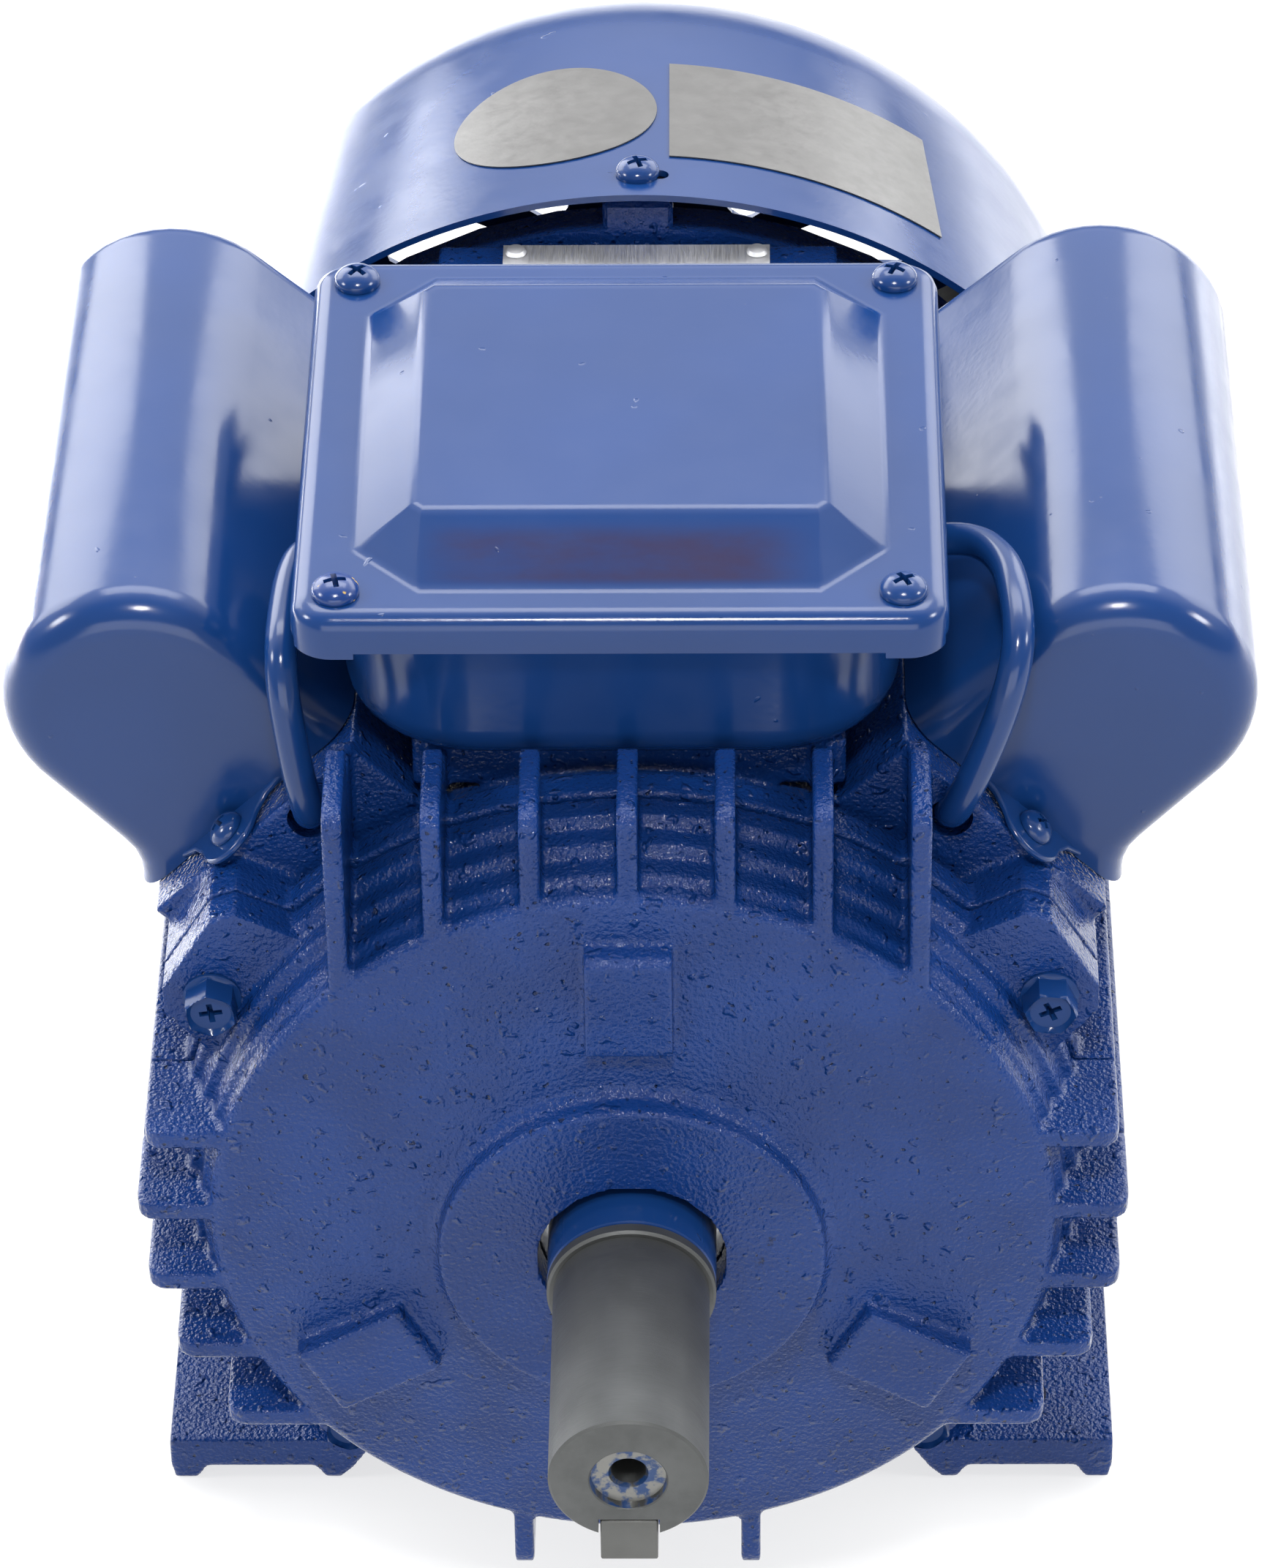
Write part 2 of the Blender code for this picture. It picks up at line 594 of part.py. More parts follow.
lid = add_piece("terminal_box_lid", stacked([
    box_loop(0.0300, 0.0288, 0.0040, PLATEAU_TOP_Z - 0.0012), box_loop(0.0392, 0.0408, 0.0110, inner_top),
    box_loop(0.0462, 0.0445, 0.0040, inner_top), box_loop(0.0478, 0.0461, 0.0050, inner_top - 0.0016),
    box_loop(0.0478, 0.0461, 0.0050, LID_SKIRT_Z), box_loop(LID_HALF_X, LID_HALF_Y, 0.0062, LID_SKIRT_Z),
    box_loop(LID_HALF_X, LID_HALF_Y, 0.0062, LID_TOP_Z - 0.0024),
    box_loop(LID_HALF_X - 0.0006, LID_HALF_Y - 0.0006, 0.0056, LID_TOP_Z - 0.0008),
    box_loop(LID_HALF_X - 0.0022, LID_HALF_Y - 0.0022, 0.0045, LID_TOP_Z),
    box_loop(0.0400, 0.0416, 0.0115, LID_TOP_Z), box_loop(0.0311, 0.0299, 0.0045, PLATEAU_TOP_Z - 0.0003),
    box_loop(0.0305, 0.0293, 0.0040, PLATEAU_TOP_Z),
]), PAINT)
LID_SCREW_SPOTS = [
    (BOX_X + sx * LID_SCREW_X, BOX_Y + sy * LID_SCREW_Y) for sx in (-1, 1) for sy in (-1, 1)
]
for target in (lid, tub):
    cut(target, [
        pin(0.0023, 0.0900, 0.1100, Matrix.Translation((x, y, 0)) @ LENGTHWISE, 12)
        for x, y in LID_SCREW_SPOTS
    ])
for number, (x, y) in enumerate(LID_SCREW_SPOTS, 1):
    add_screw(
        f"lid_screw_{number}", Matrix.Translation((x, y, LID_TOP_Z + GAP)) @ LENGTHWISE,
        0.0036, 0.0026, 0.0020, 0.0110, PAINT,
    )

BOARD_TOP_Z = TUB_BOTTOM_Z + 0.0012 + GAP + 0.0050
board_y0 = BOX_Y - 0.0220
board = add_piece(
    "terminal_board", block(-0.0250, 0.0250, board_y0, board_y0 + 0.0340, BOARD_TOP_Z - 0.0050, BOARD_TOP_Z),
    (BLACK_PLASTIC, 0.0, 0.45),
)
TERMINAL_SPOTS = [(x, board_y0 + y) for x in (-0.0140, 0.0140) for y in (0.0080, 0.0260)]
BOARD_SCREW_SPOTS = [(x, board_y0 + 0.0170) for x in (-0.0205, 0.0205)]
cut(board, [
    pin(0.0026, 0.0700, 0.0900, Matrix.Translation((x, y, 0)) @ LENGTHWISE, 12)
    for x, y in TERMINAL_SPOTS + BOARD_SCREW_SPOTS
])
for target in (tub, housing):
    cut(target, [
        pin(0.0022, 0.0640, 0.0900, Matrix.Translation((x, y, 0)) @ LENGTHWISE, 12)
        for x, y in BOARD_SCREW_SPOTS
    ])
# winding wires come up through the pad in front of the board
for target in (tub, housing):
    cut(target, [pin(0.0050, 0.0550, 0.0780, Matrix.Translation((0, 0.0375, 0)) @ LENGTHWISE, 20)])
for number, (x, y) in enumerate(TERMINAL_SPOTS, 1):
    stud = turned([
        (0.0, 0.0085), (0.0020, 0.0085), (0.0020, 0.0042), (0.0042, 0.0042), (0.0042, GAP),
        (0.0022, GAP), (0.0022, -0.0040), (0.0, -0.0040),
    ], 8)
    stud.transform(Matrix.Translation((x, y, BOARD_TOP_Z)) @ LENGTHWISE)
    add_piece(f"terminal_stud_{number}", stud, (BRASS, 1.0, 0.3))
for number, (x, y) in enumerate(BOARD_SCREW_SPOTS, 1):
    add_screw(
        f"board_screw_{number}", Matrix.Translation((x, y, BOARD_TOP_Z + GAP)) @ LENGTHWISE,
        0.0032, 0.0024, 0.0018, 0.0150, PLATED,
    )


# ---------------------------------------------------------------- capacitors and their covers
def pouch(y, inset, base):
    """Cross-section of a cover at one y: round top, sides leaning out a little, flat base."""
    radius = COVER_RADIUS - inset
    points = [(-(COVER_RADIUS + 0.0015 - inset), y, base)]
    for i in range(11):
        a = math.pi - math.pi * i / 10
        points.append((radius * math.cos(a), y, COVER_AXIS_DISTANCE + radius * math.sin(a)))
    points.append((COVER_RADIUS + 0.0015 - inset, y, base))
    return points


def pouch_solid(inset, base):
    """Closed pouch with rounded front and rear edges, axis pointing straight up."""
    near = COVER_FRONT_Y + inset
    far = COVER_REAR_Y - inset
    fillet = COVER_FILLET - inset
    loops = []
    for angle in (0, 30, 60, 90):
        a = math.radians(angle)
        loops.append(pouch(near + fillet * (1 - math.sin(a)), inset + fillet * (1 - math.cos(a)), base))
    loops = loops[::-1]
    for angle in (90, 60, 30, 0)[::-1]:
        a = math.radians(angle)
        loops.append(pouch(far - fillet * (1 - math.sin(a)), inset + fillet * (1 - math.cos(a)), base))
    return stacked(loops)


for side, corner, name in ((-1, 135, "left"), (1, 45, "right")):
    turn = about_axis(corner)
    base = COVER_BASE_DISTANCE
    shell = pouch_solid(0.0, base - 0.0020)
    shell.transform(turn)
    cover = add_piece(f"capacitor_cover_{name}", shell, PAINT)
    fuse(cover, [slab(
        [(side * 0.0205, base - 0.0015), (side * 0.0205, base + 0.0062), (side * 0.0226, base + 0.0055),
         (side * 0.0258, base + 0.0012), (side * 0.0258, base - 0.0015)],
        0.0980, turn @ Matrix.Translation((0, (COVER_FRONT_Y + COVER_REAR_Y) / 2, 0)) @ LENGTHWISE,
    )])
    screw_a = side * 0.0042
    screw_ys = {"front": COVER_FRONT_Y - 0.0036, "rear": COVER_REAR_Y + 0.0036}
    fuse(cover, [
        pin(
            0.0058, base - 0.0010, base + 0.0012,
            turn @ Matrix.Translation((screw_a, y, 0)) @ LENGTHWISE, 16,
        )
        for y in screw_ys.values()
    ])
    hollow = pouch_solid(COVER_SHEET, base - 0.0100)
    hollow.transform(turn)
    cut(cover, [hollow])
    # everything is trimmed to the flat seat in one go
    cut(cover, [block(-0.0400, 0.0400, 0.0100, 0.1700, base - 0.0200, base, turn)])
    for target, depth in ((cover, 0.0780), (housing, 0.0690)):
        cut(target, [
            pin(0.0023, depth, 0.0900, turn @ Matrix.Translation((screw_a, y, 0)) @ LENGTHWISE, 12)
            for y in screw_ys.values()
        ])
    for end, y in screw_ys.items():
        add_screw(
            f"cover_screw_{name}_{end}",
            turn @ Matrix.Translation((screw_a, y, base + 0.0012 + GAP)) @ LENGTHWISE,
            0.0030, 0.0022, 0.0019, 0.0100, PAINT,
        )
    can = turned([
        (0.0, 0.1340), (0.0185, 0.1340), (0.0195, 0.1330), (0.0195, 0.0595), (0.0185, 0.0585), (0.0, 0.0585),
    ], 32)
    can.transform(turn @ Matrix.Translation((0, 0, COVER_AXIS_DISTANCE - 0.0040)))
    add_piece(
        "run_capacitor" if side < 0 else "start_capacitor", can,
        (WHITE_PLASTIC, 0.0, 0.5) if side < 0 else (BLACK_PLASTIC, 0.0, 0.5),
    )

# ---------------------------------------------------------------- leads from the box to the capacitors
# each runs out through the box wall, round the front of the cover and through a drilled channel
LEAD_RADIUS = 0.0025
CHANNEL_RADIUS = 0.0033
LEAD_ROUTES = {
    "right": [
        (0.0360, 0.0600, 0.0890), (0.0460, 0.0600, 0.0900), (0.0530, 0.0580, 0.0915),
        (0.0570, 0.0500, 0.0935), (0.0583, 0.0410, 0.0940), (0.0588, 0.0330, 0.0925),
        (0.0580, 0.0290, 0.0880), (0.0560, 0.0272, 0.0810), (0.0530, 0.0262, 0.0725),
        (0.0502, 0.0262, 0.0655), (0.0488, 0.0285, 0.0612), (0.0487, 0.0330, 0.0600),
        (0.0487, 0.0480, 0.0600), (0.0500, 0.0525, 0.0615), (0.0530, 0.0540, 0.0645),
        (0.0570, 0.0540, 0.0685),
    ],
    "left": [
        (-0.0360, 0.0600, 0.0890), (-0.0450, 0.0600, 0.0895), (-0.0500, 0.0570, 0.0900),
        (-0.0516, 0.0500, 0.0905), (-0.0521, 0.0410, 0.0905), (-0.0522, 0.0330, 0.0900),
        (-0.0520, 0.0290, 0.0855), (-0.0510, 0.0272, 0.0785), (-0.0500, 0.0262, 0.0715),
        (-0.0490, 0.0264, 0.0655), (-0.0487, 0.0285, 0.0612), (-0.0487, 0.0330, 0.0600),
        (-0.0487, 0.0480, 0.0600), (-0.0500, 0.0525, 0.0615), (-0.0530, 0.0540, 0.0645),
        (-0.0570, 0.0540, 0.0685),
    ],
}


def rounded_route(points, passes=2):
    """Corner-cutting: the ends stay put and every bend becomes a smooth curve."""
    route = [Vector(p) for p in points]
    for _ in range(passes):
        finer = [route[0]]
        for a, b in zip(route, route[1:]):
            finer += [a.lerp(b, 0.25), a.lerp(b, 0.75)]
        finer.append(route[-1])
        route = finer
    return route


for name, points in LEAD_ROUTES.items():
    add_piece(f"capacitor_lead_{name}", tube(rounded_route(points, 1), LEAD_RADIUS, 1), PAINT)
    exit_point = Vector(points[1])
    bore = Vector(points[12])
    outward = (math.copysign(1, bore.x), 0, 1)
    cut(tub, [pin(
        CHANNEL_RADIUS, -0.0080, 0.0080,
        frame_at((exit_point.x * 0.92, exit_point.y, exit_point.z - 0.0003), (0, 1, 0), (1, 0, 0)), 16,
    )])
    cut(housing, [pin(CHANNEL_RADIUS, 0.0260, 0.0560, Matrix.Translation((bore.x, 0, bore.z)), 16)])
    cut(housing, [pin(0.0068, 0.0270, 0.0400, Matrix.Translation((bore.x, 0, bore.z)), 13, 0.0015)])
    cut(housing, [pin(0.0048, -0.0020, 0.0200, frame_at((bore.x, 0.0532, bore.z), (0, 1, 0), outward), 16)])

# ---------------------------------------------------------------- nameplate, rivets and blank labels
plate_low = PAD_TOP_Z + GAP
plate = add_piece(
    "nameplate", block(-0.0222, 0.0218, 0.1195, 0.1612, plate_low, plate_low + 0.0006),
    (ALUMINIUM, 1.0, 0.3),
)
RIVET_SPOTS = ((-0.0201, 0.1590), (0.0197, 0.1590))
for target in (plate, housing):
    cut(target, [
        pin(0.0013, 0.0700, 0.0780, Matrix.Translation((x, y, 0)) @ LENGTHWISE, 10) for x, y in RIVET_SPOTS
    ])
for number, (x, y) in enumerate(RIVET_SPOTS, 1):
    add_screw(
        f"nameplate_rivet_{number}", Matrix.Translation((x, y, plate_low + 0.0006 + GAP)) @ LENGTHWISE,
        0.0018, 0.0009, 0.0010, 0.0036, (ALUMINIUM, 1.0, 0.3),
    )


def label(angles, span):
    """Thin label lying on the tapered cowl; span gives its front and rear edge at each angle."""
    loops = []
    for degrees in angles:
        a = math.radians(degrees)
        front, rear = span(degrees)
        corners = []
        for y, lift in ((front, 0.0002), (rear, 0.0002), (rear, 0.0005), (front, 0.0005)):
            r = cowl_radius(y) + lift
            corners.append((r * math.cos(a), y, r * math.sin(a)))
        loops.append(corners)
    return stacked(loops)


ROUND_LABEL_ANGLE = 100.0
ROUND_LABEL_Y = 0.1905
ROUND_LABEL_RADIUS = 0.0175


def round_label_span(degrees):
    arc = math.radians(degrees - ROUND_LABEL_ANGLE) * cowl_radius(ROUND_LABEL_Y)
    half = math.sqrt(max(ROUND_LABEL_RADIUS ** 2 - arc ** 2, 0.0018 ** 2))
    return ROUND_LABEL_Y - half, ROUND_LABEL_Y + half


round_reach = math.degrees(ROUND_LABEL_RADIUS / cowl_radius(ROUND_LABEL_Y))
add_piece(
    "cowl_label_round",
    label(
        [ROUND_LABEL_ANGLE + round_reach * math.cos(math.pi * i / 14) for i in range(15)],
        round_label_span,
    ),
    (GREY_LABEL, 0.3, 0.35),
)
add_piece(
    "cowl_label_square", label([53.5 + 33.0 * i / 8 for i in range(9)], lambda _: (0.1735, 0.2080)),
    (GREY_LABEL, 0.3, 0.35),
)

# ---------------------------------------------------------------- stator core and windings
add_piece("stator_core", turned([
    (0.0342, 0.1250), (0.0600, 0.1250), (0.0600, 0.0450), (0.0342, 0.0450),
], ring=True), STACK)
for name, near, far in (("front", 0.0300, 0.0447), ("rear", 0.1253, 0.1400)):
    add_piece(f"end_winding_{name}", turned([
        (0.0400, far), (0.0540, far), (0.0570, far - 0.0030), (0.0570, near + 0.0030), (0.0540, near),
        (0.0400, near), (0.0375, near + 0.0030), (0.0375, far - 0.0030),
    ], 24, ring=True), (COPPER, 1.0, 0.4))

# ---------------------------------------------------------------- bearings
for end, near, far, seat, outer, track in (
    ("front", 0.0025, 0.0175, 0.0128, 0.0260, 0.0195), ("rear", 0.1533, 0.1670, 0.0103, 0.0235, 0.0169),
):
    ball = 0.0026 if end == "front" else 0.0024
    middle = (near + far) / 2
    add_piece(f"bearing_outer_{end}", turned([
        (track + ball + 0.0004, far), (outer, far), (outer, near), (track + ball + 0.0004, near),
    ], 24, ring=True), BEARING)
    add_piece(f"bearing_inner_{end}", turned([
        (seat, far), (track - ball - 0.0004, far), (track - ball - 0.0004, near), (seat, near),
    ], 24, ring=True), BEARING)
    cage = add_piece(f"bearing_cage_{end}", turned([
        (track - 0.0010, middle + 0.0012), (track + 0.0010, middle + 0.0012),
        (track + 0.0010, middle - 0.0012), (track - 0.0010, middle - 0.0012),
    ], 18, ring=True), (BRASS, 1.0, 0.35))
    balls = []
    for i in range(8):
        bm = bmesh.new()
        bmesh.ops.create_uvsphere(bm, u_segments=6, v_segments=4, radius=ball)
        a = 2 * math.pi * i / 8
        bmesh.ops.translate(bm, vec=(track * math.cos(a), middle, track * math.sin(a)), verts=bm.verts)
        sphere = bpy.data.meshes.new("ball")
        bm.to_mesh(sphere)
        bm.free()
        balls.append(sphere)
    fuse(cage, balls)

# ---------------------------------------------------------------- rotor: shaft, key, core, fan
shaft = add_piece("shaft", turned([
    (0.0, SHAFT_END_Y), (0.0070, SHAFT_END_Y), (0.0080, SHAFT_END_Y - 0.0010), (0.0080, 0.1760),
    (0.0100, 0.1755), (0.0100, 0.1500), (0.0120, 0.1495), (0.0120, 0.1330), (0.0150, 0.1330),
    (0.0150, 0.0185), (0.0125, 0.0180), (0.0125, 0.0022), (SHAFT_COLLAR_RADIUS, 0.0020),
    (SHAFT_COLLAR_RADIUS, SHAFT_COLLAR_Y + 0.0003), (SHAFT_COLLAR_RADIUS - 0.0003, SHAFT_COLLAR_Y),
    (SHAFT_RADIUS, SHAFT_COLLAR_Y), (SHAFT_RADIUS, SHAFT_TIP_Y + 0.0003),
    (SHAFT_RADIUS - 0.0003, SHAFT_TIP_Y), (0.0058, SHAFT_TIP_Y), (0.0054, SHAFT_TIP_Y + 0.0014),
    (0.0030, SHAFT_TIP_Y + 0.0014), (0.0026, SHAFT_TIP_Y + 0.0022), (0.0026, SHAFT_TIP_Y + 0.0140),
    (0.0, SHAFT_TIP_Y + 0.0150),
], 28), BARE_STEEL)
cut(shaft, [block(
    -KEY_WIDTH / 2 - GAP, KEY_WIDTH / 2 + GAP, SHAFT_TIP_Y - 0.0100, KEY_END_Y + GAP,
    -0.0200, -KEY_SEAT_RADIUS + GAP,
)])
key = add_piece("shaft_key", block(
    -KEY_WIDTH / 2, KEY_WIDTH / 2, SHAFT_TIP_Y, KEY_END_Y, -KEY_PROUD_RADIUS, -KEY_SEAT_RADIUS,
), BARE_STEEL)

add_piece("rotor_core", turned([
    (0.0153, 0.1250), (0.0200, 0.1250), (0.0210, 0.1310), (0.0315, 0.1310), (0.0325, 0.1250),
    (0.0337, 0.1250), (0.0337, 0.0450), (0.0325, 0.0450), (0.0315, 0.0390), (0.0210, 0.0390),
    (0.0200, 0.0450), (0.0153, 0.0450),
], 24, ring=True), STACK)
add_piece("governor_plate", turned([
    (0.0123, 0.1375), (0.0240, 0.1375), (0.0270, 0.1360), (0.0270, 0.1335), (0.0123, 0.1335),
], 24, ring=True), PLATED)
add_piece("governor_sleeve", turned([
    (0.0124, 0.1475), (0.0220, 0.1475), (0.0220, 0.1455), (0.0160, 0.1445), (0.0160, 0.1410),
    (0.0124, 0.1410),
], 24, ring=True), (BLACK_PLASTIC, 0.0, 0.5))
switch_plate = add_piece("switch_plate", turned([
    (0.0150, 0.1525), (0.0400, 0.1525), (0.0400, 0.1500), (0.0150, 0.1500),
], 24, ring=True), (BLACK_PLASTIC, 0.0, 0.6))
fuse(switch_plate, [
    pin(0.0030, 0.1515, 0.1667, Matrix.Translation((x, 0, 0)), 12) for x in (-0.0355, 0.0355)
])

fan = add_piece("cooling_fan", turned([
    (0.0083, 0.2100), (0.0160, 0.2100), (0.0190, 0.1890), (0.0570, 0.1885), (0.0575, 0.1860),
    (0.0083, 0.1860),
], 36, ring=True), (BLACK_PLASTIC, 0.0, 0.45))
fuse(fan, [
    block(-0.0013, 0.0013, 0.1875, 0.2120, 0.0150, 0.0640, about_axis(30 + 60 * i)) for i in range(6)
])

# Booleans leave a few coincident vertices where a cut runs along an existing edge
for piece in motor.objects:
    if any(step.type == "BOOLEAN" for step in piece.modifiers):
        piece.modifiers.new("Weld", "WELD").merge_threshold = 0.000001
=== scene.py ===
"""Looks of the foot-mounted capacitor motor: fine geometry, paint, steel and light over the fixed frame.

Pieces are drawn in the shaft's frame (origin on the shaft axis in the plane of the drive-end face,
X right, Y backwards, Z up, metres) and placed by their location.
"""
import math

import bmesh
import bpy
from mathutils import Matrix, Vector


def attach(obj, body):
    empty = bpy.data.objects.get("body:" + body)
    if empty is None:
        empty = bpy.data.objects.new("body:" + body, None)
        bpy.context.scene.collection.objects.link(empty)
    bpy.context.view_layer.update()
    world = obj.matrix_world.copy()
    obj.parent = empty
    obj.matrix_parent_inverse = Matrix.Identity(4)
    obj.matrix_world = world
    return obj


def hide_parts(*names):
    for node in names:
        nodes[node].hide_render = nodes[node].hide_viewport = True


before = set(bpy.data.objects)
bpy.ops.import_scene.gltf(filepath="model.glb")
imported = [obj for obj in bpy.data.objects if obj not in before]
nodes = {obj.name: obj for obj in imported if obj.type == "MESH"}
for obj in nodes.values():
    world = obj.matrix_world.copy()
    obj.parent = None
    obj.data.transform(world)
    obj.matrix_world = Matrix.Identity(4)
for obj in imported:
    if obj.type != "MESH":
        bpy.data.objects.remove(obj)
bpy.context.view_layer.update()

# ---------------------------------------------------------------- driving dimensions (metres)
AXIS_POINT = Vector((0.0, -0.1036, 0.0900))
AXIS_HEIGHT = AXIS_POINT.z
GAP = 0.0003

SHAFT_RADIUS = 0.0120
SHAFT_TIP_Y = -0.0533
COLLAR_RADIUS = 0.0130
COLLAR_Y = -0.0126
KEY_HALF_WIDTH = 0.0043

DISC_RADIUS = 0.0654
DISC_EDGE_Y = 0.0036
BOSS_RADIUS = 0.0298
BOSS_HEIGHT = 0.0045
SEAL_BORE_RADIUS = 0.0145
SPIGOT_RADIUS = 0.0644
FRONT_JOINT_Y = 0.0210
REAR_JOINT_Y = 0.1630
BARREL_RADIUS = 0.0690
BORE_RADIUS = 0.0652
CORE_SEAT_RADIUS = 0.0607
FLANGE_RADIUS = 0.0715

FIN_THICKNESS = 0.0031
FIN_TOP_Z = 0.0803
FIN_RADIUS = 0.0768
FIN_PITCH = 0.0146
SIDE_FIN_ZS = (0.0170, 0.0024, -0.0122, -0.0268, -0.0414)
BOTTOM_FIN_X = 0.0182
BOTTOM_FIN_REACH = 0.0745
FIN_ROOT_SINK = 0.0020
SHIELD_FIN_NOSE = 0.0032
HOUSING_FIN_NOSE = 0.0006
PAD_TOP_Z = 0.0744
SEAT_DISTANCE = 0.0815
FOOT_OUTER_X = 0.0782
FOOT_HOLE_RADIUS = 0.0050
FOOT_HOLE_X = 0.0625
FOOT_HOLE_YS = (0.052, 0.152)

BOX_X = -0.0010
BOX_Y = 0.0681
LID_TOP_Z = 0.1044
PLATEAU_TOP_Z = 0.1110
LID_SKIRT_Z = 0.0971
TUB_BOTTOM_Z = 0.0748
TUB_TOP_Z = 0.0995
LID_SCREW_SPOTS = [(BOX_X + 0.0422 * sx, BOX_Y + 0.0405 * sy) for sx in (-1, 1) for sy in (-1, 1)]

COVER_AXIS = 0.1059
COVER_RADIUS = 0.0208
COVER_BASE = 0.0818
COVER_FRONT_Y = 0.0355
COVER_REAR_Y = 0.1410
COVER_FILLET = 0.0060

COWL_RIM_Y = 0.1595
COWL_RIM_RADIUS = 0.0865
COWL_TAPER = math.radians(7.05)
COWL_FILLET = 0.0428
COWL_BACK_Y = 0.2605
COWL_SCREW_Y = 0.1670
COWL_LUG_ANGLES = (90, 210, 330)
SHEET_GAUGE = 0.0012

COVER_SCREW_X = 0.0042
COVER_SCREW_YS = {"front": COVER_FRONT_Y - 0.0036, "rear": COVER_REAR_Y + 0.0036}
COVER_EAR_RADIUS = 0.0058

UPPER_BOLTS = ((-0.0640, 0.0368), (0.0640, 0.0368))
LOWER_BOLTS = ((-0.0459, -0.0504), (0.0459, -0.0504))
REAR_BOLT_CIRCLE = 0.0700
REAR_BOLTS = [
    (REAR_BOLT_CIRCLE * math.cos(math.radians(a)), REAR_BOLT_CIRCLE * math.sin(math.radians(a)))
    for a in (45, 135, 225, 315)
]
BOLT_BOSS_RADIUS = 0.0064
SCREW_DOME = math.radians(78)

LEAD_RADIUS = 0.0025
LEAD_CHANNEL_X = 0.0487
LEAD_CHANNEL_Z = 0.0600
NAMEPLATE_RIVET_XS = (-0.0201, 0.0197)
NAMEPLATE_RIVET_Y = 0.1590
FLOOR_HALF_SIZE = 14.0

CAST_VOXEL = 0.00050
LATHE_STEPS = 160


# ---------------------------------------------------------------- camera
def place_camera():
    """Long lens from the front, 42 degrees above the shaft."""
    yaw, pitch, roll = -0.0201266, -0.6724957, -0.0148428
    forward = Vector((math.sin(yaw) * math.cos(pitch), math.cos(yaw) * math.cos(pitch), math.sin(pitch)))
    level = Vector((math.cos(yaw), -math.sin(yaw), 0.0))
    above = level.cross(forward)
    right = math.cos(roll) * level + math.sin(roll) * above
    up = math.cos(roll) * above - math.sin(roll) * level
    data = bpy.data.cameras.new("camera")
    data.sensor_width = 36.0
    data.lens = 167.16
    data.clip_start = 0.05
    camera = bpy.data.objects.new("camera", data)
    turn = Matrix((right, up, -forward)).transposed().to_4x4()
    camera.matrix_world = Matrix.Translation(AXIS_POINT + Vector((0.018273, -0.835046, 0.755072))) @ turn
    bpy.context.scene.collection.objects.link(camera)
    bpy.context.scene.camera = camera


place_camera()


# ---------------------------------------------------------------- materials
class Nodes:
    """Small helper round one material's node tree."""

    def __init__(self, name, colour, metallic, roughness):
        self.material = bpy.data.materials.new(name)
        self.material.use_nodes = True
        self.tree = self.material.node_tree
        self.shader = self.tree.nodes["Principled BSDF"]
        self.shader.inputs["Base Color"].default_value = (*colour, 1.0)
        self.shader.inputs["Metallic"].default_value = metallic
        self.shader.inputs["Roughness"].default_value = roughness
        self.place = self.tree.nodes.new("ShaderNodeTexCoord").outputs["Object"]

    def join(self, source, target):
        self.tree.links.new(source, target)

    def noise(self, scale, detail=3.0, roughness=0.5, stretch=None):
        node = self.tree.nodes.new("ShaderNodeTexNoise")
        node.inputs["Scale"].default_value = scale
        node.inputs["Detail"].default_value = detail
        node.inputs["Roughness"].default_value = roughness
        place = self.place
        if stretch is not None:
            mapping = self.tree.nodes.new("ShaderNodeMapping")
            mapping.inputs["Scale"].default_value = stretch
            self.join(place, mapping.inputs["Vector"])
            place = mapping.outputs["Vector"]
        self.join(place, node.inputs["Vector"])
        return node.outputs["Fac"]

    def span(self, value, low, high, to_low=0.0, to_high=1.0):
        node = self.tree.nodes.new("ShaderNodeMapRange")
        node.interpolation_type = "SMOOTHSTEP"
        node.inputs["From Min"].default_value = low
        node.inputs["From Max"].default_value = high
        node.inputs["To Min"].default_value = to_low
        node.inputs["To Max"].default_value = to_high
        self.join(value, node.inputs["Value"])
        return node.outputs["Result"]

    def mix(self, factor, first, second):
        """Blend towards a second colour; first is a colour or another node's output."""
        node = self.tree.nodes.new("ShaderNodeMix")
        node.data_type = "RGBA"
        self.join(factor, node.inputs["Factor"])
        if isinstance(first, tuple):
            node.inputs["A"].default_value = (*first, 1.0)
        else:
            self.join(first, node.inputs["A"])
        node.inputs["B"].default_value = (*second, 1.0)
        return node.outputs["Result"]

    def combine(self, operation, first, second):
        node = self.tree.nodes.new("ShaderNodeMath")
        node.operation = operation
        for socket, value in zip(node.inputs, (first, second)):
            if isinstance(value, (int, float)):
                socket.default_value = value
            else:
                self.join(value, socket)
        return node.outputs["Value"]

    def bump(self, *layers):
        """Chain of (height, strength, distance) layers into the shader's normal."""
        previous = None
        for height, strength, distance in layers:
            node = self.tree.nodes.new("ShaderNodeBump")
            node.inputs["Strength"].default_value = strength
            node.inputs["Distance"].default_value = distance
            self.join(height, node.inputs["Height"])
            if previous is not None:
                self.join(previous, node.inputs["Normal"])
            previous = node.outputs["Normal"]
        self.join(previous, self.shader.inputs["Normal"])


NAVY = (0.0040, 0.0275, 0.1360)
NAVY_DEEP = (0.0036, 0.0235, 0.1180)
NAVY_LIGHT = (0.0044, 0.0300, 0.1480)


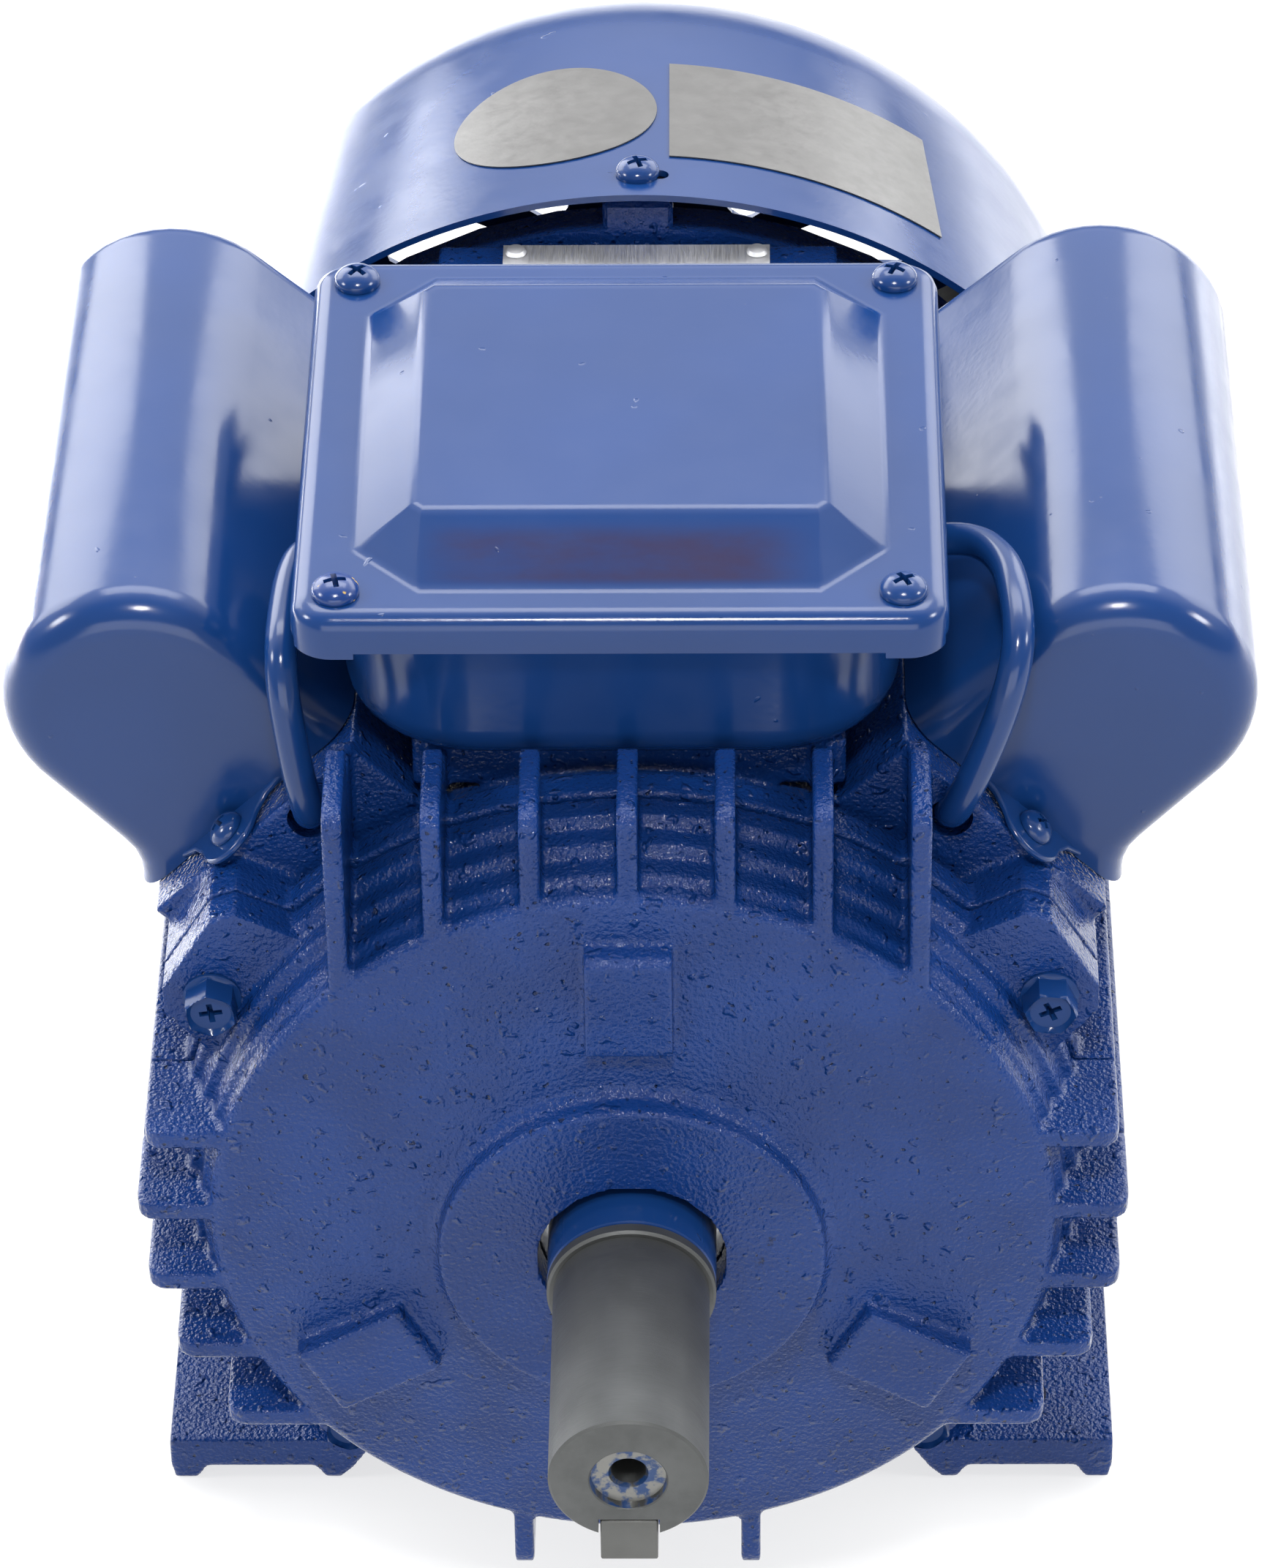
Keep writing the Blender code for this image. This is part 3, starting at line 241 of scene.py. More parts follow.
def cast_paint():
    """Thick gloss enamel over a rough iron casting: grain, pin holes with painted shade in them, small dark
    scuffs.
    """
    mat = Nodes("cast_paint", NAVY, 0.0, 0.20)
    mat.shader.inputs["Specular IOR Level"].default_value = 0.28
    shade = mat.span(mat.noise(55.0, 3.0), 0.32, 0.68)
    colour = mat.mix(shade, NAVY_DEEP, NAVY_LIGHT)
    scuff = mat.span(mat.noise(70.0, 6.0, 0.72), 0.67, 0.72, 0.0, 0.70)
    colour = mat.mix(scuff, colour, (0.0040, 0.0060, 0.0150))
    # Painted shade: the deepest of the bump pits below (same noise) are darkened in the colour.
    hole = mat.span(mat.noise(900.0, 1.0), 0.74, 0.79, 0.0, 0.8)
    colour = mat.mix(hole, colour, (0.0030, 0.0080, 0.0300))
    mat.join(colour, mat.shader.inputs["Base Color"])
    mat.join(mat.span(mat.noise(260.0, 2.0), 0.3, 0.7, 0.06, 0.12), mat.shader.inputs["Roughness"])
    grain = mat.noise(1500.0, 2.0, 0.5)
    pits = mat.span(mat.noise(900.0, 1.0), 0.70, 0.79, 0.0, -1.0)
    blisters = mat.span(mat.noise(460.0, 1.0), 0.63, 0.78)
    mat.bump((grain, 0.70, 0.00050), (pits, 0.9, 0.0006), (blisters, 0.8, 0.0006))
    return mat.material


def sheet_paint(name="sheet_paint", worn_bevel=False, shine=0.40):
    """Smooth semi-gloss enamel on pressed sheet, with a faint orange peel and dust specks."""
    mat = Nodes(name, NAVY, 0.0, 0.17)
    mat.shader.inputs["Specular IOR Level"].default_value = shine
    shade = mat.span(mat.noise(28.0, 2.0), 0.3, 0.7)
    colour = mat.mix(shade, (0.0042, 0.0280, 0.1180), (0.0050, 0.0310, 0.1310))
    if worn_bevel:
        split = mat.tree.nodes.new("ShaderNodeSeparateXYZ")
        mat.join(mat.place, split.inputs["Vector"])
        near = mat.span(split.outputs["Y"], BOX_Y - 0.0398, BOX_Y - 0.0382)
        far = mat.span(split.outputs["Y"], BOX_Y - 0.0296, BOX_Y - 0.0335)
        left = mat.span(split.outputs["X"], BOX_X - 0.0320, BOX_X - 0.0210)
        right = mat.span(split.outputs["X"], BOX_X + 0.0320, BOX_X + 0.0170)
        lengthwise = mat.combine("MULTIPLY", near, far)
        sideways = mat.combine("MULTIPLY", left, right)
        patch = mat.combine("MULTIPLY", lengthwise, sideways)
        streak = mat.span(mat.noise(90.0, 5.0, 0.7, (0.35, 1.0, 1.0)), 0.25, 0.70, 0.30, 0.85)
        colour = mat.mix(mat.combine("MULTIPLY", patch, streak), colour, (0.0240, 0.0150, 0.0420))
    mat.join(colour, mat.shader.inputs["Base Color"])
    mat.join(mat.span(mat.noise(120.0, 2.0), 0.3, 0.7, 0.15, 0.21), mat.shader.inputs["Roughness"])
    specks = mat.span(mat.noise(330.0, 1.0), 0.775, 0.82)
    mat.bump(
        (mat.noise(14.0, 2.0), 0.10, 0.0020),
        (mat.noise(800.0, 2.0), 0.05, 0.0002),
        (specks, 0.35, 0.0003),
    )
    return mat.material


def steel(name, colour, roughness, on_lathe):
    """Ground steel; the fine lines run round a turned part or along a ground one."""
    mat = Nodes(name, colour, 1.0, roughness)
    stretch = (1.0, 60.0, 1.0) if on_lathe else (60.0, 1.0, 60.0)
    lines = mat.noise(240.0, 4.0, 0.6, stretch)
    stain = mat.span(mat.noise(90.0, 4.0), 0.35, 0.75)
    colour_out = mat.mix(stain, colour, tuple(c * 0.80 for c in colour))
    mat.join(colour_out, mat.shader.inputs["Base Color"])
    mat.join(mat.span(lines, 0.3, 0.7, roughness - 0.06, roughness + 0.10), mat.shader.inputs["Roughness"])
    mat.bump((lines, 0.18, 0.00012))
    return mat.material


def plain(name, colour, metallic, roughness, scale, strength=0.2):
    """Moulded, pressed or wound stock with a fine surface grain."""
    mat = Nodes(name, colour, metallic, roughness)
    cloud = mat.span(mat.noise(scale * 0.2, 3.0), 0.3, 0.7)
    mat.join(mat.mix(cloud, colour, tuple(c * 0.88 for c in colour)), mat.shader.inputs["Base Color"])
    mat.join(mat.span(mat.noise(scale * 0.5), 0.3, 0.7, roughness - 0.06, roughness + 0.08),
             mat.shader.inputs["Roughness"])
    mat.bump((mat.noise(scale, 3.0), strength, 0.0002))
    return mat.material


def flecked_paint():
    """The same enamel with a spot of yellow marking lacquer."""
    mat = Nodes("flecked_paint", NAVY, 0.0, 0.2)
    fleck = mat.span(mat.noise(330.0, 2.0), 0.60, 0.64)
    mat.join(mat.mix(fleck, NAVY, (0.55, 0.36, 0.05)), mat.shader.inputs["Base Color"])
    mat.bump((mat.noise(900.0, 2.0), 0.1, 0.0002))
    return mat.material


def stained_steel():
    """Countersink of the shaft's centre hole, with paint left in patches."""
    mat = Nodes("stained_steel", (0.20, 0.20, 0.19), 0.9, 0.35)
    patch = mat.span(mat.noise(420.0, 3.0, 0.6), 0.44, 0.56)
    mat.join(mat.mix(patch, (0.20, 0.20, 0.19), (0.010, 0.040, 0.130)), mat.shader.inputs["Base Color"])
    mat.join(mat.span(patch, 0.0, 1.0, 0.95, 0.15), mat.shader.inputs["Metallic"])
    mat.bump((mat.noise(900.0, 2.0), 0.3, 0.0002))
    return mat.material


STAINED = stained_steel()
CAST = cast_paint()
FLECKED = flecked_paint()
SHEET = sheet_paint()
BOLT_PAINT = sheet_paint("bolt_paint", shine=0.20)
LID_PAINT = sheet_paint("lid_paint", worn_bevel=True)
TURNED = steel("turned_steel", (0.118, 0.122, 0.122), 0.52, True)
KEY_STEEL = steel("key_steel", (0.135, 0.137, 0.133), 0.45, False)
BRUSHED_PLATE = steel("brushed_plate", (0.92, 0.92, 0.93), 0.55, False)
LABEL_FILM = plain("label_film", (0.140, 0.139, 0.138), 0.60, 0.34, 900.0, 0.10)
RUBBER = plain("rubber", (0.020, 0.020, 0.021), 0.0, 0.70, 700.0)
MOULDED = plain("moulded_black", (0.022, 0.022, 0.024), 0.0, 0.48, 900.0)
MOULDED_WHITE = plain("moulded_white", (0.66, 0.65, 0.60), 0.0, 0.45, 900.0)
BRASS = plain("brass", (0.60, 0.43, 0.17), 1.0, 0.30, 1200.0)
COPPER = plain("copper_wire", (0.52, 0.20, 0.09), 1.0, 0.38, 1500.0, 0.6)
LAMINATION = steel("lamination", (0.16, 0.16, 0.17), 0.50, True)
BEARING_STEEL = steel("bearing_steel", (0.50, 0.51, 0.51), 0.18, True)

CAD_LOOKS = {
    "terminal_board": MOULDED, "switch_plate": MOULDED, "governor_sleeve": MOULDED, "cooling_fan": MOULDED,
    "start_capacitor": MOULDED, "run_capacitor": MOULDED_WHITE, "terminal_box_gasket": RUBBER,
    "governor_plate": BEARING_STEEL, "board_screw_1": BEARING_STEEL, "board_screw_2": BEARING_STEEL,
    "stator_core": LAMINATION, "rotor_core": LAMINATION,
    "end_winding_front": COPPER, "end_winding_rear": COPPER,
    "bearing_outer_front": BEARING_STEEL, "bearing_outer_rear": BEARING_STEEL,
    "bearing_inner_front": BEARING_STEEL, "bearing_inner_rear": BEARING_STEEL,
    "bearing_cage_front": BRASS, "bearing_cage_rear": BRASS,
    "terminal_stud_1": BRASS, "terminal_stud_2": BRASS, "terminal_stud_3": BRASS, "terminal_stud_4": BRASS,
    "rear_end_shield": CAST,
}
for node_name, look in CAD_LOOKS.items():
    slots = nodes[node_name].material_slots
    for index in range(len(slots)):
        slots[index].material = look


# ---------------------------------------------------------------- shape helpers
def mesh_of(bm, name="shape"):
    bmesh.ops.recalc_face_normals(bm, faces=bm.faces)
    mesh = bpy.data.meshes.new(name)
    bm.to_mesh(mesh)
    bm.free()
    return mesh


def skin(loops, ring=False):
    """Quads through equal-length loops of points, closed on itself or capped at both ends."""
    bm = bmesh.new()
    rows = [[bm.verts.new(co) for co in loop] for loop in loops]
    pairs = list(zip(rows, rows[1:]))
    if ring:
        pairs.append((rows[-1], rows[0]))
    else:
        bm.faces.new(rows[0])
        bm.faces.new(rows[-1])
    for lower, upper in pairs:
        for i in range(len(lower)):
            bm.faces.new((lower[i - 1], lower[i], upper[i], upper[i - 1]))
    bmesh.ops.remove_doubles(bm, verts=bm.verts, dist=0.000002)
    return mesh_of(bm)


def turned(profile, steps=LATHE_STEPS):
    """Closed ring of revolution about the shaft axis; points on the axis become caps."""
    turns = [2 * math.pi * i / steps for i in range(steps)]
    loops = [[(r * math.cos(a), y, r * math.sin(a)) for a in turns] for r, y in profile]
    if profile[0][0] >= 0.00001:
        return skin(loops, ring=True)
    return skin([loop for loop, (r, _) in zip(loops, profile) if r >= 0.00001])


def prism(outline, thickness, matrix):
    """Flat outline in local XY, extruded both ways along local Z."""
    half = thickness / 2
    mesh = skin([[(x, y, z) for x, y in outline] for z in (-half, half)])
    mesh.transform(matrix)
    return mesh


def block(x0, x1, y0, y1, z0, z1, matrix=None):
    mesh = prism([(x0, y0), (x1, y0), (x1, y1), (x0, y1)], z1 - z0, Matrix.Translation((0, 0, (z0 + z1) / 2)))
    if matrix is not None:
        mesh.transform(matrix)
    return mesh


def pin(radius, y0, y1, matrix=None, steps=32):
    """Cylinder along local Y."""
    mesh = turned([(0.0, y0), (radius, y0), (radius, y1), (0.0, y1)], steps)
    if matrix is not None:
        mesh.transform(matrix)
    return mesh


def joined(meshes):
    bm = bmesh.new()
    for mesh in meshes:
        bm.from_mesh(mesh)
        bpy.data.meshes.remove(mesh)
    out = bpy.data.meshes.new("joined")
    bm.to_mesh(out)
    bm.free()
    return out


def applied(obj):
    """Replace an object's mesh by the result of its modifiers."""
    bpy.context.view_layer.update()
    graph = bpy.context.evaluated_depsgraph_get()
    mesh = bpy.data.meshes.new_from_object(obj.evaluated_get(graph))
    obj.modifiers.clear()
    obj.data = mesh


def subtract(obj, cutter_mesh, solver="EXACT"):
    """Cut a mesh out of an object for good and remove the cutter."""
    cutter = bpy.data.objects.new("cutter", cutter_mesh)
    cutter.location = obj.location
    bpy.context.scene.collection.objects.link(cutter)
    step = obj.modifiers.new("Cut", "BOOLEAN")
    step.operation = "DIFFERENCE"
    step.solver = solver
    step.object = cutter
    applied(obj)
    bpy.data.objects.remove(cutter, do_unlink=True)


def show(name, mesh, look, body, *replaced, angle=35.0, cuts=()):
    """New visible piece standing for one or more CAD nodes; holes are cut before it rides its body."""
    piece = bpy.data.objects.new(name, mesh)
    piece.location = AXIS_POINT
    bpy.context.scene.collection.objects.link(piece)
    for cutter in cuts:
        subtract(piece, cutter)
    finish_mesh(piece, look, angle)
    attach(piece, body)
    if replaced:
        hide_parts(*replaced)
    return piece


def finish_mesh(piece, look, angle):
    piece.data.materials.clear()
    piece.data.materials.append(look)
    piece.data.shade_smooth()
    piece.data.set_sharp_from_angle(angle=math.radians(angle))


def soften(piece, width, angle=28.0):
    """Rounded edges wherever two faces meet at more than the angle."""
    step = piece.modifiers.new("Edges", "BEVEL")
    step.width = width
    step.segments = 2
    step.limit_method = "ANGLE"
    step.angle_limit = math.radians(angle)


def about_axis(degrees):
    return Matrix.Rotation(math.radians(90 - degrees), 4, "Y")


def frame_at(point, x_dir, y_dir):
    x = Vector(x_dir).normalized()
    y = Vector(y_dir).normalized()
    return Matrix.Translation(Vector(point)) @ Matrix((x, y, x.cross(y))).transposed().to_4x4()


LENGTHWISE = frame_at((0, 0, 0), (1, 0, 0), (0, 0, 1))


def along(x, z):
    """Place of a pin that lies along the shaft's direction."""
    return Matrix.Translation((x, 0, z))


def upright(x, y, z=0.0):
    """Place of a pin that stands up."""
    return Matrix.Translation((x, y, z)) @ LENGTHWISE


def cast(name, parts, cutters, look, body, *replaced):
    """Casting: the parts flow together at a fine voxel size, then the machined holes are cut."""
    piece = bpy.data.objects.new(name, joined(parts))
    piece.location = AXIS_POINT
    bpy.context.scene.collection.objects.link(piece)
    melt = piece.modifiers.new("Melt", "REMESH")
    melt.mode = "VOXEL"
    melt.voxel_size = CAST_VOXEL
    relax = piece.modifiers.new("Relax", "SMOOTH")
    relax.factor = 0.5
    relax.iterations = 2
    applied(piece)
    for cutter in cutters:
        subtract(piece, cutter, "MANIFOLD")
    finish_mesh(piece, look, 50.0)
    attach(piece, body)
    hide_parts(*replaced)


# ---------------------------------------------------------------- castings
def fin_outline(y0, y1, root, tip, nose):
    """Fin seen from its side, with a rounded upper front corner."""
    return [
        (y0, root), (y0, tip - nose),
        (y0 + nose * 0.12, tip - nose * 0.55), (y0 + nose * 0.40, tip - nose * 0.15),
        (y0 + nose, tip), (y1, tip), (y1, root),
    ]


def upright_fin(x, up, outline):
    return prism(outline, FIN_THICKNESS, frame_at((x, 0, 0), (0, 1, 0), (0, 0, up)))


def side_fin(side, z, outline):
    return prism(outline, FIN_THICKNESS, frame_at((0, 0, z), (0, 1, 0), (side, 0, 0)))


def side_reach(z):
    """How far out a side fin reaches at its height."""
    return math.sqrt(FIN_RADIUS ** 2 - z ** 2)


def shield_fins():
    """Fins of the drive-end shield; their roots reach in to the disc's rim."""
    def outline(offset, tip):
        root = math.sqrt(DISC_RADIUS ** 2 - offset ** 2) - 0.0012
        return fin_outline(DISC_EDGE_Y, FRONT_JOINT_Y, root, tip, SHIELD_FIN_NOSE)

    fins = [upright_fin(FIN_PITCH * i, 1, outline(FIN_PITCH * i, FIN_TOP_Z)) for i in range(-3, 4)]
    for side in (-1, 1):
        fins += [side_fin(side, z, outline(z, side_reach(z))) for z in SIDE_FIN_ZS]
        fins.append(upright_fin(side * BOTTOM_FIN_X, -1, outline(BOTTOM_FIN_X, BOTTOM_FIN_REACH)))
    return fins


def bolt_lug(side, y0, y1):
    """Ear that carries an upper bolt."""
    outline = [
        (0.0590, 0.0270), (0.0640, 0.0240), (0.0715, 0.0335), (0.0715, 0.0385), (0.0640, 0.0513),
        (0.0600, 0.0528), (0.0480, 0.0470),
    ]
    return prism(
        [(side * x, z) for x, z in outline], y1 - y0, frame_at((0, (y0 + y1) / 2, 0), (1, 0, 0), (0, 0, 1)),
    )


def shield_casting():
    """Disc, boss, pads, fins and bolt ears in one casting."""
    body = turned([
        (SEAL_BORE_RADIUS, -BOSS_HEIGHT), (BOSS_RADIUS - 0.0004, -BOSS_HEIGHT),
        (BOSS_RADIUS, -BOSS_HEIGHT + 0.0004), (BOSS_RADIUS + 0.0002, -0.0012), (BOSS_RADIUS + 0.0016, 0.0000),
        (DISC_RADIUS - 0.0012, DISC_EDGE_Y - 0.0004), (DISC_RADIUS, DISC_EDGE_Y + 0.0006),
        (DISC_RADIUS + 0.0002, 0.0062), (DISC_RADIUS + 0.0014, 0.0075), (DISC_RADIUS + 0.0016, 0.0112),
        (DISC_RADIUS + 0.0034, 0.0122), (DISC_RADIUS + 0.0036, 0.0160), (FLANGE_RADIUS - 0.0008, 0.0168),
        (FLANGE_RADIUS - 0.0008, FRONT_JOINT_Y), (SPIGOT_RADIUS, FRONT_JOINT_Y),
        (SPIGOT_RADIUS, FRONT_JOINT_Y + 0.0038), (0.0607, FRONT_JOINT_Y + 0.0038),
        (0.0590, 0.0110), (0.0350, 0.0065), (0.0320, 0.0085), (0.0315, 0.0178), (0.0265, 0.0178),
        (0.0265, 0.0022), (SEAL_BORE_RADIUS, 0.0022),
    ], 240)
    parts = [body] + shield_fins() + [bolt_lug(side, 0.0150, FRONT_JOINT_Y) for side in (-1, 1)]
    parts += [pin(BOLT_BOSS_RADIUS, 0.0150, FRONT_JOINT_Y, along(x, z)) for x, z in LOWER_BOLTS]
    for a in (90, 210, 330):
        parts.append(block(-0.0066, 0.0066, -0.0022, 0.0046, 0.0390, 0.0566, about_axis(a)))
        parts.append(block(-0.0066, 0.0066, -0.0012, 0.0050, 0.0384, 0.0572, about_axis(a)))
    holes = [pin(0.0029, 0.0040, 0.0300, along(x, z), 24) for x, z in UPPER_BOLTS + LOWER_BOLTS]
    cast("drive_end_shield_casting", parts, [joined(holes)], CAST, "frame", "drive_end_shield")


def foot_parts(side):
    """Foot with two strips underneath, and the web that joins it to the barrel."""
    low = -AXIS_HEIGHT + 0.00005
    outer = FOOT_OUTER_X
    outline = [
        (0.0452, low + 0.0062), (0.0480, low + 0.0020), (0.0500, low), (0.0524, low), (0.0542, low + 0.0026),
        (outer - 0.0060, low + 0.0026), (outer - 0.0044, low), (outer - 0.0006, low), (outer, low + 0.0030),
        (outer, low + 0.0085), (0.0470, low + 0.0085), (0.0440, low + 0.0115),
    ]
    web = [(0.0370, -0.0575), (0.0500, -0.0470), (0.0560, -0.0830), (0.0440, -0.0830)]
    middle = Matrix.Translation((0, 0.1005, 0)) @ LENGTHWISE
    return [
        prism([(side * x, z) for x, z in outline], 0.1198, middle),
        prism([(side * x, z) for x, z in web], 0.1100, middle),
    ]


def housing_fins(y0):
    """Side and bottom fins at full length, and the short outer pairs in front of the box."""
    def outline(y1, offset, root_radius, sink, tip):
        root = math.sqrt(root_radius ** 2 - offset ** 2) - sink
        return fin_outline(y0, y1, root, tip, HOUSING_FIN_NOSE)

    rear = REAR_JOINT_Y - 0.0040
    parts = []
    for side in (-1, 1):
        for z in SIDE_FIN_ZS:
            blade = outline(rear, z, BARREL_RADIUS - FIN_ROOT_SINK, 0.0, side_reach(z))
            parts.append(side_fin(side, z, blade))
        bottom = outline(rear, BOTTOM_FIN_X, BARREL_RADIUS, FIN_ROOT_SINK, BOTTOM_FIN_REACH)
        parts.append(upright_fin(side * BOTTOM_FIN_X, -1, bottom))
        for x in (side * 2 * FIN_PITCH, side * 3 * FIN_PITCH):
            short = outline(0.0310, x, BARREL_RADIUS, FIN_ROOT_SINK, PAD_TOP_Z - 0.0006)
            parts.append(upright_fin(x, 1, short))
        parts.append(bolt_lug(side, y0, 0.0460))
        parts += foot_parts(side)
    return parts


def housing_casting():
    """Barrel, fins, feet, box pad and cover seats in one casting, with its drilled and bored holes."""
    y0 = FRONT_JOINT_Y + GAP
    bore_steps = [
        (BORE_RADIUS, y0 + 0.0047), (CORE_SEAT_RADIUS, y0 + 0.0062),
        (CORE_SEAT_RADIUS, REAR_JOINT_Y - 0.0065), (BORE_RADIUS, REAR_JOINT_Y - 0.0055),
    ]
    shell = turned([
        (BORE_RADIUS, REAR_JOINT_Y), (BARREL_RADIUS, REAR_JOINT_Y), (BARREL_RADIUS, y0 + 0.0063),
        (FLANGE_RADIUS, y0 + 0.0050), (FLANGE_RADIUS, y0), (BORE_RADIUS, y0), *bore_steps,
    ], 200)
    parts = [shell] + housing_fins(y0)
    for corner in (45, 135):
        parts.append(block(-0.0223, 0.0223, 0.0292, 0.1498, 0.0665, SEAT_DISTANCE, about_axis(corner)))
    parts.append(block(-0.0329, 0.0329, 0.0302, REAR_JOINT_Y - 0.0003, 0.0660, PAD_TOP_Z))
    parts += [pin(BOLT_BOSS_RADIUS, y0, 0.0420, along(x, z)) for x, z in LOWER_BOLTS]
    parts += [pin(BOLT_BOSS_RADIUS, 0.1440, REAR_JOINT_Y, along(x, z)) for x, z in REAR_BOLTS]
    holes = [
        pin(FOOT_HOLE_RADIUS, -0.0950, -0.0780, upright(side * FOOT_HOLE_X, y))
        for side in (-1, 1) for y in FOOT_HOLE_YS
    ]
    holes += [
        pin(0.0036, 0.0240, 0.0600, along(side * LEAD_CHANNEL_X, LEAD_CHANNEL_Z), 24) for side in (-1, 1)
    ]
    outlets = [
        pin(0.0052, -0.0040, 0.0200, frame_at(
            (side * LEAD_CHANNEL_X, 0.0532, LEAD_CHANNEL_Z), (0, 1, 0), (side, 0, 1),
        ), 24)
        for side in (-1, 1)
    ]
    tapped = [
        pin(0.0024, 0.0700, 0.0900, about_axis(corner) @ upright(side * COVER_SCREW_X, y), 16)
        for side, corner in ((-1, 135), (1, 45)) for y in COVER_SCREW_YS.values()
    ]
    bore = turned([(0.0, 0.0190), (BORE_RADIUS, 0.0190), *bore_steps, (BORE_RADIUS, 0.1660), (0.0, 0.1660)])
    rounds = (joined(holes), joined(outlets + tapped), bore)
    cast("housing_casting", parts, rounds, CAST, "frame", "stator_housing")


shield_casting()
housing_casting()


# ---------------------------------------------------------------- fan cowl
def cowl_radius(y):
    return COWL_RIM_RADIUS - (y - COWL_RIM_Y) * math.tan(COWL_TAPER)


def cowl_outline(inset):
    """Half-section from the middle of the back to the rim."""
    cone_end = COWL_BACK_Y - COWL_FILLET
    centre = (
        COWL_RIM_RADIUS - (cone_end - COWL_RIM_Y) * math.tan(COWL_TAPER) - COWL_FILLET / math.cos(COWL_TAPER)
    )
    radius = COWL_FILLET - inset
    points = [(0.0, COWL_BACK_Y - inset), (centre * 0.5, COWL_BACK_Y - inset)]
    for i in range(19):
        a = math.radians(90) + (COWL_TAPER - math.radians(90)) * i / 18
        points.append((centre + radius * math.cos(a), cone_end + radius * math.sin(a)))
    for i in range(1, 7):
        y = cone_end + (COWL_RIM_Y - cone_end) * i / 6
        points.append((cowl_radius(y) - inset / math.cos(COWL_TAPER), y))
    return points


def slot_outline():
    """Air slot: wide and round outside, narrow and round near the middle, as (across, radius)."""
    points = []
    for middle, half, start in ((0.0450, 0.0070, 0.0), (0.0235, 0.0032, math.pi)):
        for step in range(7):
            a = start + math.pi * step / 6
            points.append((half * math.cos(a), middle + 0.55 * half * math.sin(a)))
    return points


def fan_cowl():
    profile = cowl_outline(0.0) + cowl_outline(SHEET_GAUGE)[::-1]
    across = upright(0, COWL_SCREW_Y)
    back = frame_at((0, COWL_BACK_Y, 0), (-1, 0, 0), (0, 0, 1))
    air = [prism(slot_outline(), 0.0200, about_axis(15 + 30 * i) @ back) for i in range(12)]
    holes = [pin(0.0024, 0.0800, 0.0950, about_axis(a) @ across, 20) for a in COWL_LUG_ANGLES]
    side = about_axis(90) @ Matrix.Translation((0.0036, 0, 0)) @ across
    holes.append(pin(0.0016, 0.0800, 0.0950, side, 16))
    show("cowl_shell", turned(profile, 192), SHEET, "frame", "fan_cowl", angle=32.0, cuts=air + holes)


fan_cowl()


# ---------------------------------------------------------------- terminal box
def rounded(half_x, half_y, radius, z, steps=10):
    """Rectangle with round corners about the box's middle."""
    points = []
    for cx, cy, start in ((1, 1, 0), (-1, 1, 90), (-1, -1, 180), (1, -1, 270)):
        for i in range(steps + 1):
            a = math.radians(start + 90 * i / steps)
            points.append((
                BOX_X + cx * (half_x - radius) + radius * math.cos(a),
                BOX_Y + cy * (half_y - radius) + radius * math.sin(a), z,
            ))
    return points


def cut_corner(half_x, half_y, chamfer, z, back=0.0, steps=10):
    """Rectangle with straight diagonal corners, in as many points as a rounded one."""
    points = []
    for cx, cy in ((1, 1), (-1, 1), (-1, -1), (1, -1)):
        ends = [(cx * half_x, cy * (half_y - chamfer)), (cx * (half_x - chamfer), cy * half_y)]
        if cx * cy < 0:
            ends.reverse()
        for i in range(steps + 1):
            t = i / steps
            x = ends[0][0] * (1 - t) + ends[1][0] * t
            y = ends[0][1] * (1 - t) + ends[1][1] * t
            points.append((BOX_X + x, BOX_Y + back + y, z))
    return points


def lid_mesh():
    """Pressed lid in one skin: up the inside, down and up the skirt, over the rim to the raised middle."""
    lid_x, lid_y = 0.0490, 0.0473
    top = LID_TOP_Z
    under = top - SHEET_GAUGE
    return skin([
        cut_corner(0.0300, 0.0280, 0.0012, PLATEAU_TOP_Z - SHEET_GAUGE, 0.0009),
        cut_corner(0.0392, 0.0396, 0.0110, under, 0.0005),
        rounded(0.0462, 0.0445, 0.0040, under),
        rounded(0.0478, 0.0461, 0.0050, under - 0.0016),
        rounded(0.0478, 0.0461, 0.0050, LID_SKIRT_Z),
        rounded(lid_x, lid_y, 0.0062, LID_SKIRT_Z),
        rounded(lid_x, lid_y, 0.0062, top - 0.0026),
        rounded(lid_x - 0.0005, lid_y - 0.0005, 0.0057, top - 0.0012),
        rounded(lid_x - 0.0015, lid_y - 0.0015, 0.0050, top - 0.0003),
        rounded(lid_x - 0.0028, lid_y - 0.0028, 0.0042, top),
        rounded(lid_x - 0.0034, lid_y - 0.0034, 0.0040, top),
        cut_corner(0.0410, 0.0416, 0.0108, top, 0.0005),
        cut_corner(0.0405, 0.0411, 0.0106, top, 0.0005),
        cut_corner(0.0397, 0.0403, 0.0102, top + 0.0003, 0.0005),
        cut_corner(0.0391, 0.0395, 0.0096, top + 0.00074, 0.0005),
        cut_corner(0.0326, 0.0312, 0.0030, PLATEAU_TOP_Z - 0.00114, 0.0009),
        cut_corner(0.0320, 0.0304, 0.0024, PLATEAU_TOP_Z - 0.0007, 0.0009),
        cut_corner(0.0313, 0.0296, 0.0018, PLATEAU_TOP_Z - 0.0002, 0.0009),
        cut_corner(0.0303, 0.0286, 0.0012, PLATEAU_TOP_Z, 0.0009),
        cut_corner(0.0296, 0.0279, 0.0010, PLATEAU_TOP_Z, 0.0009),
    ])


